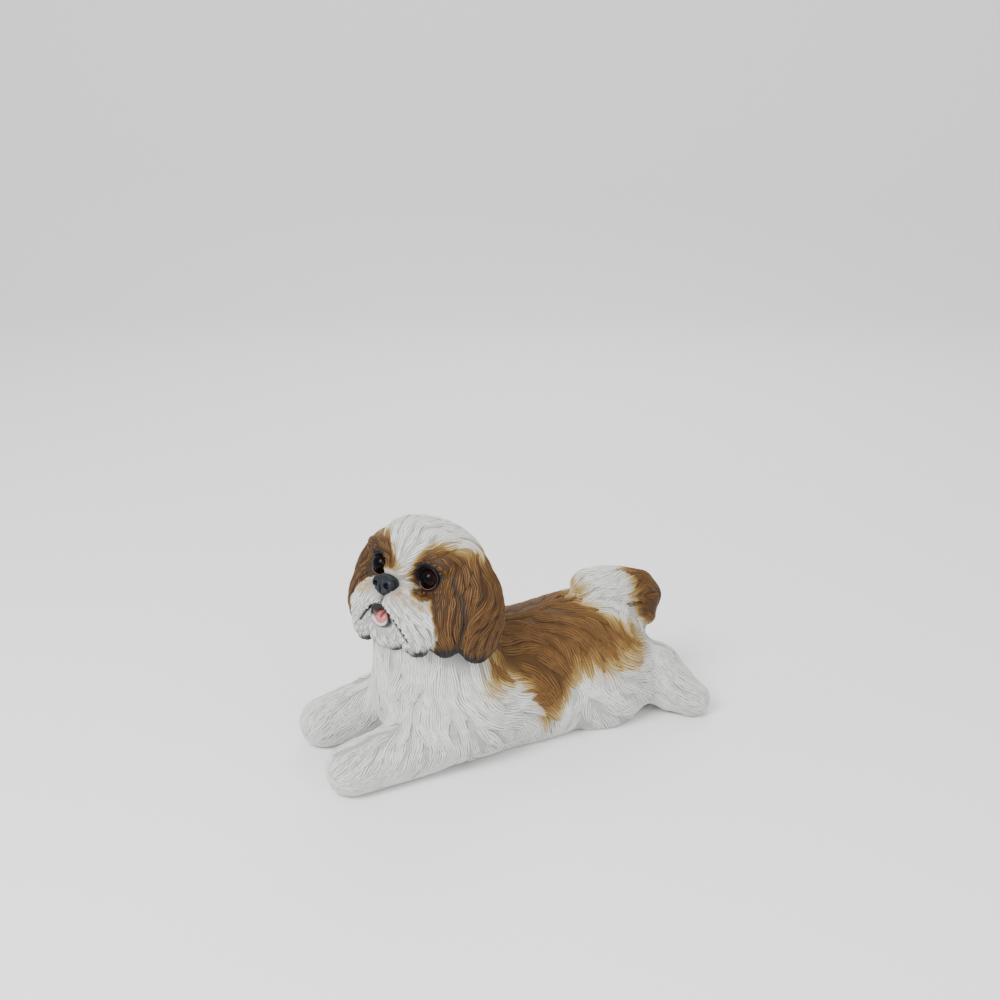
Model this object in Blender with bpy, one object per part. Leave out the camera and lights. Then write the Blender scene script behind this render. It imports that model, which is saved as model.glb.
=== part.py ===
"""Painted cast-resin statue of a shih tzu puppy that lies outstretched with its head up.

The dog faces -Y, its left side is +X and the ground is z = 0. Lengths are in metres. The body and
the head are each one blended form, worked out as a distance field and meshed. Low locks of the
sculpted coat are laid over them along the comb direction and joined on. Thin cuts then part the
limbs, tail, neck, ears and muzzle. Glass eyes, nose and tongue are set into the head.
"""
import bmesh
import bpy
import numpy as np
from mathutils import Vector

# The thin gap that parts two touching pieces
GAP = 0.0003
# Points closer than this, left where two surfaces cross, are joined
SLIVER = 0.00003
# Half-step at which a field's slope is measured, and steps of a lock's path
SLOPE_STEP = 0.0004
LOCK_STEPS = 9

# Torso: chest, loin and rump, each an egg with its centre, half-sizes and place along the spine
CHEST = ((0, -0.062, 0.056), (0.072, 0.068, 0.071))
LOIN = ((0, 0.015, 0.050), (0.068, 0.095, 0.072))
RUMP = ((0, 0.090, 0.055), (0.066, 0.070, 0.071))
TORSO_BLEND = 0.030

# Neck: a round cone from inside the chest up into the head
NECK_PATH = ((0, -0.083, 0.070), (0.003, -0.090, 0.135))
NECK_RADII = (0.054, 0.050)

# Forelegs: shoulder, wrist and paw; the left one reaches further forward
FORELEG_LEFT = ((0.042, -0.062, 0.045), (0.040, -0.115, 0.029), (0.0435, -0.191, 0.0225))
FORELEG_RIGHT = ((-0.046, -0.062, 0.050), (-0.052, -0.115, 0.032), (-0.0565, -0.1760, 0.0224))
FORELEG_RADII = (0.034, 0.030, 0.0240)
LEG_BLEND = 0.018

# Hind legs: an egg-shaped thigh and a lower leg that folds out behind it; +X side given
THIGH = ((0.041, 0.092, 0.043), (0.034, 0.050, 0.053))
SHANK_PATH = ((0.030, 0.130, 0.040), (0.038, 0.153, 0.038), (0.057, 0.166, 0.025), (0.075, 0.178, 0.0165))
SHANK_RADII = (0.034, 0.031, 0.024, 0.0178)
THIGH_BLEND = 0.012

# Tail: up from the rump and forward over the back in one curl
TAIL_PATH = ((0, 0.128, 0.090), (0, 0.160, 0.095), (0, 0.165, 0.108), (0, 0.156, 0.119),
             (0.001, 0.135, 0.125), (0.002, 0.112, 0.131), (0.002, 0.094, 0.134))
TAIL_RADII = (0.026, 0.019, 0.0175, 0.018, 0.019, 0.019, 0.017)
TAIL_BLEND = 0.010

# Folds down the two sides of the curl
TAIL_FOLD = ((0.0235, 0.147, 0.118), (0.0250, 0.155, 0.099))
TAIL_FOLD_RADIUS = 0.0045

# Head: a frame of its own between the eyes, X to its left, -Y forward, turned and tipped up
EYES_MIDDLE = np.array((0.012, -0.1163, 0.1946))
HEAD_YAW = 21.0
HEAD_TIP = 18.0
EYE_SIDE = 0.0300
EYE_DEPTH = 0.0045
EYE_RADIUS = 0.0110

# Nose, tongue and open mouth, each an egg in the head's frame
NOSE = ((0, -0.0200, -0.0130), (0.0127, 0.0098, 0.0102))
TONGUE = ((0, -0.0120, -0.0455), (0.0104, 0.0088, 0.0072))
MOUTH = ((0, -0.0240, -0.0400), (0.0108, 0.0125, 0.0082))

# Rolled lower lip, and the groove of the closed lips down each side of the mouth; +X side given
LOWER_LIP = ((0, -0.0200, -0.0500), (0.0070, -0.0190, -0.0475), (0.0110, -0.0170, -0.0430))
LOWER_LIP_RADII = (0.0030, 0.0028, 0.0020)
LIP_LINE = ((0, -0.0265, -0.0305), (0.007, -0.0240, -0.0370), (0.014, -0.0195, -0.0480),
            (0.021, -0.0130, -0.061))
LIP_RADII = (0.0018, 0.0022, 0.0020, 0.0014)

# Surface steps of the fields, the boxes that hold them and the triangles kept on each form
BODY_CELL = 0.0035
HEAD_CELL = 0.0022
NOSE_CELL = 0.0012
TONGUE_CELL = 0.0020
BODY_ROOM = ((-0.11, -0.24, -0.03), (0.11, 0.22, 0.20))
HEAD_ROOM = ((-0.12, -0.19, 0.08), (0.13, 0.03, 0.28))
BODY_TRIANGLES = 2500
HEAD_TRIANGLES = 2550
NOSE_TRIANGLES = 320
TONGUE_TRIANGLES = 120
EYE_FACES = (14, 8)
CUTTER_FACES = (14, 9)

# Sculpted locks of the coat: length, width, height and spacing on the body and on the head
BODY_LOCK = (0.056, 0.021, 0.0032, 0.037)
HEAD_LOCK = (0.030, 0.0125, 0.0026, 0.0235)
# A lock's rings between its two ends, as (place along it, width, height) in parts of its own
LOCK_RINGS = ((0.22, 0.70, 0.55), (0.50, 1.0, 1.0), (0.78, 0.72, 0.85))
LOCK_BEND = 0.10
BODY_SEED = 4
HEAD_SEED = 5
LOCK_DEPTH = 0.0045
LOCK_SINK = 0.0010
# Room that locks leave at the ground, at the seat of the head and round eyes, nose and mouth
GROUND_ROOM = 0.006
SEAT_ROOM = 0.0065
EYE_ROOM = 0.0165
NOSE_ROOM = 0.0150
MOUTH_ROOM = 0.0135

# Whorls of the side coat: centre along and up the body, reach and strength
WHORLS = (((-0.052, 0.086), 0.030, 1.5), ((0.106, 0.088), 0.034, 2.2))
# Where the coat parts on the face, in the head's frame
BRIDGE = (0, -0.016, -0.002)
NOSE_MIDDLE = (0, -0.024, -0.010)

# Where the thin cuts run: each piece is what lies inside an egg, given by centre and half-sizes
BODY_CUTS = {
    "foreleg_left": ((0.044, -0.150, 0.020), (0.037, 0.078, 0.046)),
    "foreleg_right": ((-0.056, -0.140, 0.022), (0.037, 0.072, 0.048)),
    "hindleg_left": ((0.076, 0.128, 0.028), (0.044, 0.088, 0.062)),
    "hindleg_right": ((-0.076, 0.128, 0.028), (0.044, 0.088, 0.062)),
    "tail": ((0.001, 0.134, 0.148), (0.040, 0.080, 0.040)),
    "neck": ((0.002, -0.089, 0.150), (0.080, 0.066, 0.052)),
}
EAR_CUT = ((0.080, 0.044, -0.022), (0.030, 0.040, 0.060))
MUZZLE_CUT = ((0, -0.018, -0.040), (0.056, 0.030, 0.043))

WHITE_PAINT = ("white paint", (0.74, 0.72, 0.67, 1), 0.62)
BROWN_PAINT = ("brown paint", (0.19, 0.075, 0.025, 1), 0.55)
BLACK_GLASS = ("black glass", (0.012, 0.009, 0.008, 1), 0.06)
SLATE_PAINT = ("slate paint", (0.035, 0.038, 0.045, 1), 0.42)
PINK_PAINT = ("pink paint", (0.55, 0.20, 0.20, 1), 0.38)
FINISHES = {"eye": BLACK_GLASS, "nose": SLATE_PAINT, "tongue": PINK_PAINT,
            "ear": BROWN_PAINT, "head": BROWN_PAINT}


def turn(yaw, tip):
    """Turn by yaw degrees about Z after tipping the -Y nose up by tip degrees about X."""
    y, t = np.radians([yaw, -tip])
    about_z = np.array([[np.cos(y), -np.sin(y), 0], [np.sin(y), np.cos(y), 0], [0, 0, 1]])
    about_x = np.array([[1, 0, 0], [0, np.cos(t), -np.sin(t)], [0, np.sin(t), np.cos(t)]])
    return about_z @ about_x


def lean(degrees):
    """Turn about Y, so that a +X side piece leans its foot outward."""
    r = np.radians(-degrees)
    return np.array([[np.cos(r), 0, np.sin(r)], [0, 1, 0], [-np.sin(r), 0, np.cos(r)]])


HEAD_TURN = turn(HEAD_YAW, HEAD_TIP)


def egg(p, centre, radii, tilt=None):
    """Distance, near enough, from points p to an ellipsoid; negative inside."""
    q = p - np.asarray(centre)
    if tilt is not None:
        q = q @ tilt
    q = q / np.asarray(radii)
    near = np.sqrt((q * q).sum(1)) + 1e-9
    steep = q / np.asarray(radii)
    return near * (near - 1) / (np.sqrt((steep * steep).sum(1)) + 1e-9)


def tube(p, path, radii):
    """Distance from p to a chain of round cones through the path."""
    best = np.full(len(p), 1e3)
    for start, end, r0, r1 in zip(path, path[1:], radii, radii[1:]):
        run = np.subtract(end, start)
        along = np.clip((p - np.asarray(start)) @ run / (run @ run), 0, 1)
        away = p - np.asarray(start) - along[:, None] * run
        best = np.minimum(best, np.sqrt((away * away).sum(1)) - (r0 + (r1 - r0) * along))
    return best


def blend(a, b, width):
    """Union of two fields with the crease between them filled over a width."""
    near = np.maximum(width - np.abs(a - b), 0) / width
    return np.minimum(a, b) - near * near * width * 0.25


def carve(a, b, width):
    """Field a with field b taken out, its rim rounded over a width."""
    return -blend(-a, b, width)


def mirrored(points, side):
    """Path points given for the +X side, on the side asked for."""
    return [(side * x, y, z) for x, y, z in points]


def both_sides(p):
    """Both halves of a form folded onto the +X side."""
    return np.abs(p[:, :1]) * (1, 0, 0) + p * (0, 1, 1)


def foreleg_path(side):
    return FORELEG_LEFT if side > 0 else FORELEG_RIGHT


def hindleg(p, side):
    thigh = egg(p, mirrored([THIGH[0]], side)[0], THIGH[1])
    return blend(thigh, tube(p, mirrored(SHANK_PATH, side), SHANK_RADII), THIGH_BLEND)


def body(p):
    """Torso, neck, four legs and tail as one blended field."""
    f = blend(egg(p, *CHEST), egg(p, *LOIN), TORSO_BLEND)
    f = blend(f, egg(p, *RUMP), TORSO_BLEND)
    f = blend(f, tube(p, NECK_PATH, NECK_RADII), TORSO_BLEND)
    for side in (1, -1):
        f = blend(f, tube(p, foreleg_path(side), FORELEG_RADII), LEG_BLEND)
        f = blend(f, hindleg(p, side), THIGH_BLEND)
    f = blend(f, tube(p, TAIL_PATH, TAIL_RADII), TAIL_BLEND)
    return carve(f, tube(both_sides(p), TAIL_FOLD, (TAIL_FOLD_RADIUS, TAIL_FOLD_RADIUS)), 0.006)


def head_frame(p):
    return (p - EYES_MIDDLE) @ HEAD_TURN


def ear(q):
    """One ear flap on the +X side, in the head's frame."""
    flap = egg(q, (0.065, 0.042, -0.031), (0.0145, 0.031, 0.038), lean(6))
    root = egg(q, (0.052, 0.032, 0.006), (0.016, 0.024, 0.030), lean(22))
    return blend(flap, root, 0.020)


def muzzle(m):
    """Whisker pads and the two moustache lobes, in the head's frame folded to one side."""
    pad = egg(m, (0.0155, -0.0075, -0.027), (0.0205, 0.0210, 0.0175))
    lobe = egg(m, (0.0305, 0.0005, -0.045), (0.0175, 0.0170, 0.0270))
    middle = egg(m, (0.023, 0.001, -0.036), (0.0220, 0.0195, 0.0220))
    return blend(blend(pad, lobe, 0.010), middle, 0.010)


def chin(q):
    return egg(q, (0, 0, -0.055), (0.0260, 0.0185, 0.0172))


def head(p):
    """Skull, forehead, brows, cheeks, jaw, muzzle, lip and ears, with sockets and mouth taken out."""
    q = head_frame(p)
    m = both_sides(q)
    f = egg(q, (0, 0.036, 0.004), (0.061, 0.042, 0.046))
    f = blend(f, egg(q, (0, 0.012, 0.024), (0.036, 0.022, 0.026)), 0.015)
    f = blend(f, egg(m, (0.031, 0.006, 0.0155), (0.022, 0.011, 0.010)), 0.008)
    f = blend(f, egg(m, (0.045, 0.022, -0.032), (0.026, 0.029, 0.037)), 0.012)
    f = blend(f, egg(q, (0, 0.035, -0.036), (0.045, 0.040, 0.034)), 0.015)
    f = blend(f, chin(q), 0.008)
    f = blend(f, muzzle(m), 0.0025)
    f = blend(f, egg(q, (0, -0.009, 0), (0.012, 0.012, 0.009)), 0.010)
    f = blend(f, tube(m, LOWER_LIP, LOWER_LIP_RADII), 0.002)
    f = carve(f, egg(m, (EYE_SIDE, -0.006, 0), (0.0115, 0.013, 0.0105)), 0.004)
    f = carve(f, egg(q, *MOUTH), 0.003)
    f = carve(f, tube(m, LIP_LINE, LIP_RADII), 0.002)
    return blend(f, ear(m), 0.005)


def nose(p):
    """Rounded leather with two nostrils and a cleft below."""
    q = head_frame(p)
    m = both_sides(q)
    f = egg(q, *NOSE)
    f = carve(f, egg(m, (0.0064, -0.0283, -0.0145), (0.0028, 0.0042, 0.0022)), 0.0020)
    return carve(f, egg(q, (0, -0.0300, -0.0205), (0.0018, 0.0042, 0.0060)), 0.0020)


def tongue(p):
    return egg(head_frame(p), *TONGUE)


def rise(v, low, high):
    """0 up to low, 1 from high on and a smooth step between them, as a column."""
    t = np.clip((v - low) / (high - low), 0, 1)
    return (t * t * (3 - 2 * t))[:, None]


def mix(a, b, t):
    return a * (1 - t) + b * t


def run_of(p, path):
    """Direction of a path at its place nearest to each point."""
    best = np.full(len(p), 1e3)
    run = np.zeros_like(p)
    for start, end in zip(path, path[1:]):
        step = np.subtract(end, start)
        along = np.clip((p - np.asarray(start)) @ step / (step @ step), 0, 1)
        away = np.linalg.norm(p - np.asarray(start) - along[:, None] * step, axis=1)
        run[away < best] = step / np.linalg.norm(step)
        best = np.minimum(best, away)
    return run


def body_comb(p):
    """Comb direction on the body: back along the spine, round and down the sides with a whorl on the
    shoulder and on the thigh, forward down the flank and the chest, and out along limbs and tail."""
    x, y, z = p.T
    side = np.sign(x)[:, None] * (1, 0, 0)
    d = mix(0.15 * side + (0, 0.50, -1), 0.25 * side + (0, 1, -0.15), rise(z, 0.085, 0.122))
    d = mix(d, np.array((0, -0.12, -1)), rise(-y, 0.075, 0.105))
    for (along, up), reach, strength in WHORLS:
        ry = (y - along) / reach
        rz = (z - up) / reach
        pull = strength * np.exp(-(ry ** 2 + rz ** 2) / 2) * rise(-z, -0.125, -0.105)[:, 0]
        d = d + np.stack([0 * y, -rz * pull, ry * pull], 1)
    flank = rise(-np.abs(y - 0.040), -0.024, -0.004) * rise(-z, -0.065, -0.035)
    d = mix(d, np.array((0, -0.45, -1)), flank)
    for path in (FORELEG_LEFT, FORELEG_RIGHT):
        own = (np.sign(path[0][0]) == np.sign(x))[:, None]
        near = rise(-tube(p, path, FORELEG_RADII), -0.014, -0.002) * rise(-y, 0.060, 0.100) * own
        high = np.clip((z - 0.024) / 0.025, -1, 1)
        forward = 0.55 * high - 0.25 - 1.1 * rise(-y, 0.11, 0.18)[:, 0]
        d = mix(d, np.stack([0 * y, forward, -1 + 0 * y], 1), near)
    shank = rise(y, 0.128, 0.146) * rise(-z, -0.085, -0.070)
    d = mix(d, 0.75 * side + (0, 0.6, -0.5), shank)
    on_tail = rise(-tube(p, TAIL_PATH, TAIL_RADII), -0.010, -0.002) * rise(z, 0.095, 0.110)
    return mix(d, run_of(p, TAIL_PATH) + (0, 0, -0.35), on_tail)


def head_comb(p):
    """Comb direction on the head: out from the nose bridge over the crown, down the cheeks and the back
    of the head, swaying down the ears, and fanned from the nose over the muzzle."""
    q = head_frame(p)
    m = both_sides(q)
    x, y, z = m.T
    d = (m - BRIDGE) / np.linalg.norm(m - BRIDGE, axis=1)[:, None]
    fall = np.maximum(rise(x, 0.034, 0.056) * rise(-z, -0.044, -0.012), rise(y, 0.050, 0.075))
    d = mix(d, np.array((0.05, 0.12, -1)), fall)
    cheek = rise(x, 0.030, 0.045) * rise(-z, -0.012, 0.004) * rise(-y, -0.030, -0.012)
    d = mix(d, np.array((0.15, 0.25, -1)), cheek)
    flap = rise(y, 0.014, 0.024) * rise(x, 0.048, 0.058)
    sway = np.sin((z + 0.010) / 0.0125)
    d = mix(d, np.stack([0 * x, 0.42 * sway - 0.30, -1 + 0 * x], 1), flap)
    fan = (m - NOSE_MIDDLE) / np.linalg.norm(m - NOSE_MIDDLE, axis=1)[:, None]
    d = mix(d, fan + (0.05, 0.1, -0.45), rise(-muzzle(m), -0.004, 0.0005))
    beard = rise(-z, 0.045, 0.052) * rise(-x, -0.022, -0.014) * rise(-y, -0.015, 0.0)
    d = mix(d, m * (25, 0, 0) + (0, -0.15, -1), beard)
    flip = np.where(q[:, :1] < 0, -1, 1) * (1, 0, 0) + np.array((0, 1, 1))
    return (d * flip) @ HEAD_TURN.T


def slope(field, p):
    """Outward unit normals of a field at points."""
    steps = np.eye(3) * SLOPE_STEP
    g = np.stack([field(p + d) - field(p - d) for d in steps], 1)
    return g / np.linalg.norm(g, axis=1)[:, None]


def settle_on(field, p):
    """Points moved along the field's slope onto its surface."""
    for _ in range(2):
        p = p - slope(field, p) * field(p)[:, None]
    return p


def spread(points, spacing, seed):
    """Points picked in a seeded order so that no two are nearer than a spacing."""
    order = np.random.default_rng(seed).permutation(len(points))
    picked = []
    for point in points[order]:
        if all(((point - other) ** 2).sum() > spacing ** 2 for other in picked):
            picked.append(point)
    return np.array(picked)


def trace(field, comb, roots, length, count):
    """Paths of count + 1 points from each root along the comb direction on the field's surface."""
    paths = [roots]
    for _ in range(count):
        p = paths[-1]
        n = slope(field, p)
        d = comb(p)
        d = d - (d * n).sum(1)[:, None] * n
        d = d / np.linalg.norm(d, axis=1)[:, None]
        paths.append(settle_on(field, p + d * (length / count)))
    return np.stack(paths, 1)


def locks(field, comb, points, sizes, clear, seed):
    """Closed low locks on a field's surface: a four-sided ridge along each traced path, its edges just
    below the surface, its crest above and its keel well inside, coming to a point at both ends."""
    length, width, height, spacing = sizes
    paths = trace(field, comb, spread(points, spacing, seed), length, LOCK_STEPS)
    paths = paths[[clear(path) for path in paths]]
    sway = np.random.default_rng(seed + 1).uniform(-LOCK_BEND, LOCK_BEND, len(paths)) * length
    made = []
    for path, bend in zip(paths, sway):
        ends = path[[0, -1]] - slope(field, path[[0, -1]]) * LOCK_SINK
        rings = []
        for place, wide, tall in LOCK_RINGS:
            at = path[round(place * LOCK_STEPS)]
            ahead = path[round(place * LOCK_STEPS) + 1] - path[round(place * LOCK_STEPS) - 1]
            n = slope(field, at[None])[0]
            across = np.cross(n, ahead / np.linalg.norm(ahead))
            at = at + across * bend * np.sin(2 * np.pi * place)
            edges = np.array([at - across * width * wide / 2, at + across * width * wide / 2])
            edges = settle_on(field, edges)
            edges = edges - slope(field, edges) * LOCK_SINK
            rings.append([edges[0], at - n * LOCK_DEPTH, edges[1], at + n * height * tall])
        made.append(loft("lock", ends[0], rings, ends[1]))
    return made


def loft(name, start, rings, end):
    """Closed object through rings of points, with a point at each end."""
    size = len(rings[0])
    points = [start, *[p for ring in rings for p in ring], end]
    last = len(points) - 1
    faces = []
    for i in range(size):
        j = (i + 1) % size
        faces.append((0, 1 + j, 1 + i))
        faces.append((last, last - size + i, last - size + j))
        for k in range(len(rings) - 1):
            a = 1 + k * size
            b = a + size
            faces.append((a + i, a + j, b + j, b + i))
    mesh = bpy.data.meshes.new(name)
    mesh.from_pydata([tuple(p) for p in points], [], faces)
    thing = bpy.data.objects.new(name, mesh)
    bpy.context.collection.objects.link(thing)
    face_out(thing)
    return thing


def face_out(thing):
    """Turn every face of a closed object outward."""
    bm = bmesh.new()
    bm.from_mesh(thing.data)
    bmesh.ops.recalc_face_normals(bm, faces=bm.faces[:])
    bm.to_mesh(thing.data)
    bm.free()


def net(field, low, high, cell):
    """Closed quads on the zero surface of a field: one point in each cell that it crosses, at the mean
    of its crossings of the cell's edges, and one quad round each grid edge that it crosses."""
    axes = [np.arange(a, b + cell, cell) for a, b in zip(low, high)]
    grid = np.stack(np.meshgrid(*axes, indexing="ij"), -1)
    value = field(grid.reshape(-1, 3)).reshape(grid.shape[:3])
    inside = value < 0
    corners = [(i, j, k) for i in (0, 1) for j in (0, 1) for k in (0, 1)]
    nx, ny, nz = (n - 1 for n in value.shape)
    filled = sum(inside[i:nx + i, j:ny + j, k:nz + k].astype(int) for i, j, k in corners)
    cells = np.argwhere((filled > 0) & (filled < 8))
    number = np.full(filled.shape, -1)
    number[tuple(cells.T)] = np.arange(len(cells))
    total = np.zeros((len(cells), 3))
    hits = np.zeros(len(cells))
    for corner in corners:
        for axis in range(3):
            if corner[axis]:
                continue
            other = np.array(corner)
            other[axis] = 1
            a = value[tuple((cells + corner).T)]
            b = value[tuple((cells + other).T)]
            crossed = (a < 0) != (b < 0)
            place = np.repeat(np.array([corner], float), len(cells), 0)
            place[:, axis] += np.where(crossed, a / np.where(crossed, a - b, 1), 0)
            total += place * crossed[:, None]
            hits += crossed
    points = (cells + total / hits[:, None]) * cell + [a[0] for a in axes]
    quads = []
    for axis, u, w in ((0, 1, 2), (1, 2, 0), (2, 0, 1)):
        ends = [slice(None)] * 3
        starts = [slice(None)] * 3
        starts[axis] = slice(0, -1)
        ends[axis] = slice(1, None)
        edges = np.argwhere(inside[tuple(starts)] != inside[tuple(ends)])
        step_u = np.eye(3, dtype=int)[u]
        step_w = np.eye(3, dtype=int)[w]
        shifts = (step_u + step_w, step_w, 0 * step_u, step_u)
        ring = np.stack([number[tuple((edges - shift).T)] for shift in shifts], 1)
        leaving = inside[tuple(edges.T)]
        ring[~leaving] = ring[~leaving][:, ::-1]
        quads.append(ring)
    return points, np.concatenate(quads)


def shape(name, field, low, high, cell):
    """Object with the closed surface of a field."""
    points, quads = net(field, low, high, cell)
    mesh = bpy.data.meshes.new(name)
    mesh.from_pydata(points.tolist(), [], quads.tolist())
    thing = bpy.data.objects.new(name, mesh)
    bpy.context.collection.objects.link(thing)
    return thing


def points_of(thing):
    return np.array([vertex.co for vertex in thing.data.vertices])


def settle(thing):
    """Turn an object's modifiers into plain mesh."""
    graph = bpy.context.evaluated_depsgraph_get()
    mesh = bpy.data.meshes.new_from_object(thing.evaluated_get(graph))
    thing.modifiers.clear()
    thing.data = mesh


def thin(thing, triangles):
    """Collapse edges where the form is plain, down to a count of triangles."""
    mod = thing.modifiers.new("thin", "DECIMATE")
    mod.ratio = triangles / (2 * len(thing.data.polygons))
    settle(thing)


def copy_of(thing, name, grow=0.0):
    """Copy of an object, its surface moved out along its normals."""
    twin = bpy.data.objects.new(name, thing.data.copy())
    bpy.context.collection.objects.link(twin)
    if grow:
        for vertex, normal in zip(twin.data.vertices, [v.normal.copy() for v in thing.data.vertices]):
            vertex.co += normal * grow
    return twin


def boolean(thing, others, operation):
    """One Boolean of an object with a collection of closed objects. The exact solver leaves a few open
    edges where the dense forms cross, so the manifold one is used."""
    group = bpy.data.collections.new("operands")
    for other in others:
        group.objects.link(other)
    mod = thing.modifiers.new("boolean", "BOOLEAN")
    mod.operation = operation
    mod.solver = "MANIFOLD"
    mod.operand_type = "COLLECTION"
    mod.collection = group
    settle(thing)
    bpy.data.collections.remove(group)


def drop(things):
    for thing in things:
        bpy.data.objects.remove(thing)


def part_off(whole, cutter, name):
    """The piece of a form that lies inside a cutter becomes an object; the form keeps the rest."""
    piece = copy_of(whole, name)
    boolean(piece, [cutter], "INTERSECT")
    wider = copy_of(cutter, "wider", GAP)
    boolean(whole, [wider], "DIFFERENCE")
    drop([cutter, wider])
    return piece


def sink(carrier, pieces):
    """Sockets in the carrier for pieces that are set into it."""
    wider = [copy_of(piece, "wider", GAP) for piece in pieces]
    boolean(carrier, wider, "DIFFERENCE")
    drop(wider)


def stand_flat(thing):
    """Cut off what lies below the ground and close the cut with a flat face."""
    bm = bmesh.new()
    bm.from_mesh(thing.data)
    everything = bm.verts[:] + bm.edges[:] + bm.faces[:]
    cut = bmesh.ops.bisect_plane(
        bm, geom=everything, plane_co=(0, 0, 0), plane_no=(0, 0, 1), clear_inner=True)
    rim = [e for e in cut["geom_cut"] if isinstance(e, bmesh.types.BMEdge)]
    bmesh.ops.holes_fill(bm, edges=rim)
    bm.to_mesh(thing.data)
    bm.free()


def islands_of(bm):
    """Sets of faces that hang together, the smallest in area first."""
    left = set(bm.faces)
    islands = []
    while left:
        island = set()
        front = [next(iter(left))]
        while front:
            face = front.pop()
            if face in left:
                left.discard(face)
                island.add(face)
                front.extend(f for e in face.edges for f in e.link_faces)
        islands.append(island)
    return sorted(islands, key=lambda faces: sum(f.calc_area() for f in faces))


def is_closed(bm):
    return all(len(edge.link_faces) == 2 for edge in bm.edges)


def keep_largest(thing):
    """Keep the largest closed surface of an object, triangulate it and join its slivers, over the widest
    distance that leaves it closed."""
    for reach in np.append(SLIVER * 0.7 ** np.arange(9), 0):
        bm = bmesh.new()
        bm.from_mesh(thing.data)
        bm.faces.ensure_lookup_table()
        for island in islands_of(bm)[:-1]:
            bmesh.ops.delete(bm, geom=list(island), context="FACES")
        if reach:
            bmesh.ops.remove_doubles(bm, verts=bm.verts[:], dist=reach)
            bmesh.ops.dissolve_degenerate(bm, edges=bm.edges[:], dist=reach)
        bmesh.ops.triangulate(bm, faces=bm.faces[:])
        if is_closed(bm) or not reach:
            bm.to_mesh(thing.data)
            bm.free()
            return
        bm.free()


def ball(name, centre, radius):
    """Closed round ball of a centre in the head's frame."""
    around, down = EYE_FACES
    bm = bmesh.new()
    bmesh.ops.create_uvsphere(bm, u_segments=around, v_segments=down, radius=radius)
    bmesh.ops.translate(bm, verts=bm.verts, vec=Vector(HEAD_TURN @ np.array(centre) + EYES_MIDDLE))
    mesh = bpy.data.meshes.new(name)
    bm.to_mesh(mesh)
    bm.free()
    thing = bpy.data.objects.new(name, mesh)
    bpy.context.collection.objects.link(thing)
    return thing


def paint(thing, finish):
    """Give an object its own material."""
    name, colour, roughness = finish
    material = bpy.data.materials.get(name) or bpy.data.materials.new(name)
    material.use_nodes = True
    shader = material.node_tree.nodes["Principled BSDF"]
    shader.inputs["Base Color"].default_value = colour
    shader.inputs["Roughness"].default_value = roughness
    thing.data.materials.clear()
    thing.data.materials.append(material)
    thing.data.shade_smooth()


def egg_cutter(centre, radii, in_head=False):
    """Egg-shaped cutter; its centre and half-sizes are in the head's frame where asked."""
    around, down = CUTTER_FACES
    bm = bmesh.new()
    bmesh.ops.create_uvsphere(bm, u_segments=around, v_segments=down, radius=1.0)
    for vertex in bm.verts:
        place = np.array(vertex.co) * radii + centre
        vertex.co = Vector(HEAD_TURN @ place + EYES_MIDDLE if in_head else place)
    mesh = bpy.data.meshes.new("cutter")
    bm.to_mesh(mesh)
    bm.free()
    thing = bpy.data.objects.new("cutter", mesh)
    bpy.context.collection.objects.link(thing)
    return thing


def make_head():
    """Head form with plain coat, and the eyes, nose and tongue that are set into it."""
    form = shape("head", head, *HEAD_ROOM, HEAD_CELL)
    points = points_of(form)
    thin(form, HEAD_TRIANGLES)
    set_in = {}
    for side, word in ((1, "left"), (-1, "right")):
        set_in["eye_" + word] = ball("eye_" + word, (side * EYE_SIDE, EYE_DEPTH, 0), EYE_RADIUS)
    set_in["nose"] = shape("nose", nose, *HEAD_ROOM, NOSE_CELL)
    thin(set_in["nose"], NOSE_TRIANGLES)
    set_in["tongue"] = shape("tongue", tongue, *HEAD_ROOM, TONGUE_CELL)
    thin(set_in["tongue"], TONGUE_TRIANGLES)
    return form, points, set_in


def clear_on_head(path):
    """Whether a lock's path keeps clear of the body, the eyes, the nose and the mouth."""
    m = both_sides(head_frame(path))
    far = [(EYE_ROOM, (EYE_SIDE, -0.004, 0)), (NOSE_ROOM, NOSE_MIDDLE), (MOUTH_ROOM, MOUTH[0])]
    open_face = all(np.linalg.norm(m - place, axis=1).min() > room for room, place in far)
    return open_face and body(path).min() > SEAT_ROOM


def part_head(form, points, set_in):
    """Join the locks to the head, set the small pieces in and part off ears and muzzle."""
    coat = locks(head, head_comb, points, HEAD_LOCK, clear_on_head, HEAD_SEED)
    boolean(form, coat, "UNION")
    drop(coat)
    sink(form, list(set_in.values()))
    pieces = dict(set_in)
    for side, word in ((1, "left"), (-1, "right")):
        cutter = egg_cutter((side * EAR_CUT[0][0], *EAR_CUT[0][1:]), EAR_CUT[1], in_head=True)
        pieces["ear_" + word] = part_off(form, cutter, "ear_" + word)
    pieces["muzzle"] = part_off(form, egg_cutter(*MUZZLE_CUT, in_head=True), "muzzle")
    pieces["head"] = form
    return pieces


def clear_on_body(path):
    """Whether a lock's path keeps clear of the ground and the head."""
    return path[:, 2].min() > GROUND_ROOM and head(path).min() > SEAT_ROOM


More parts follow.
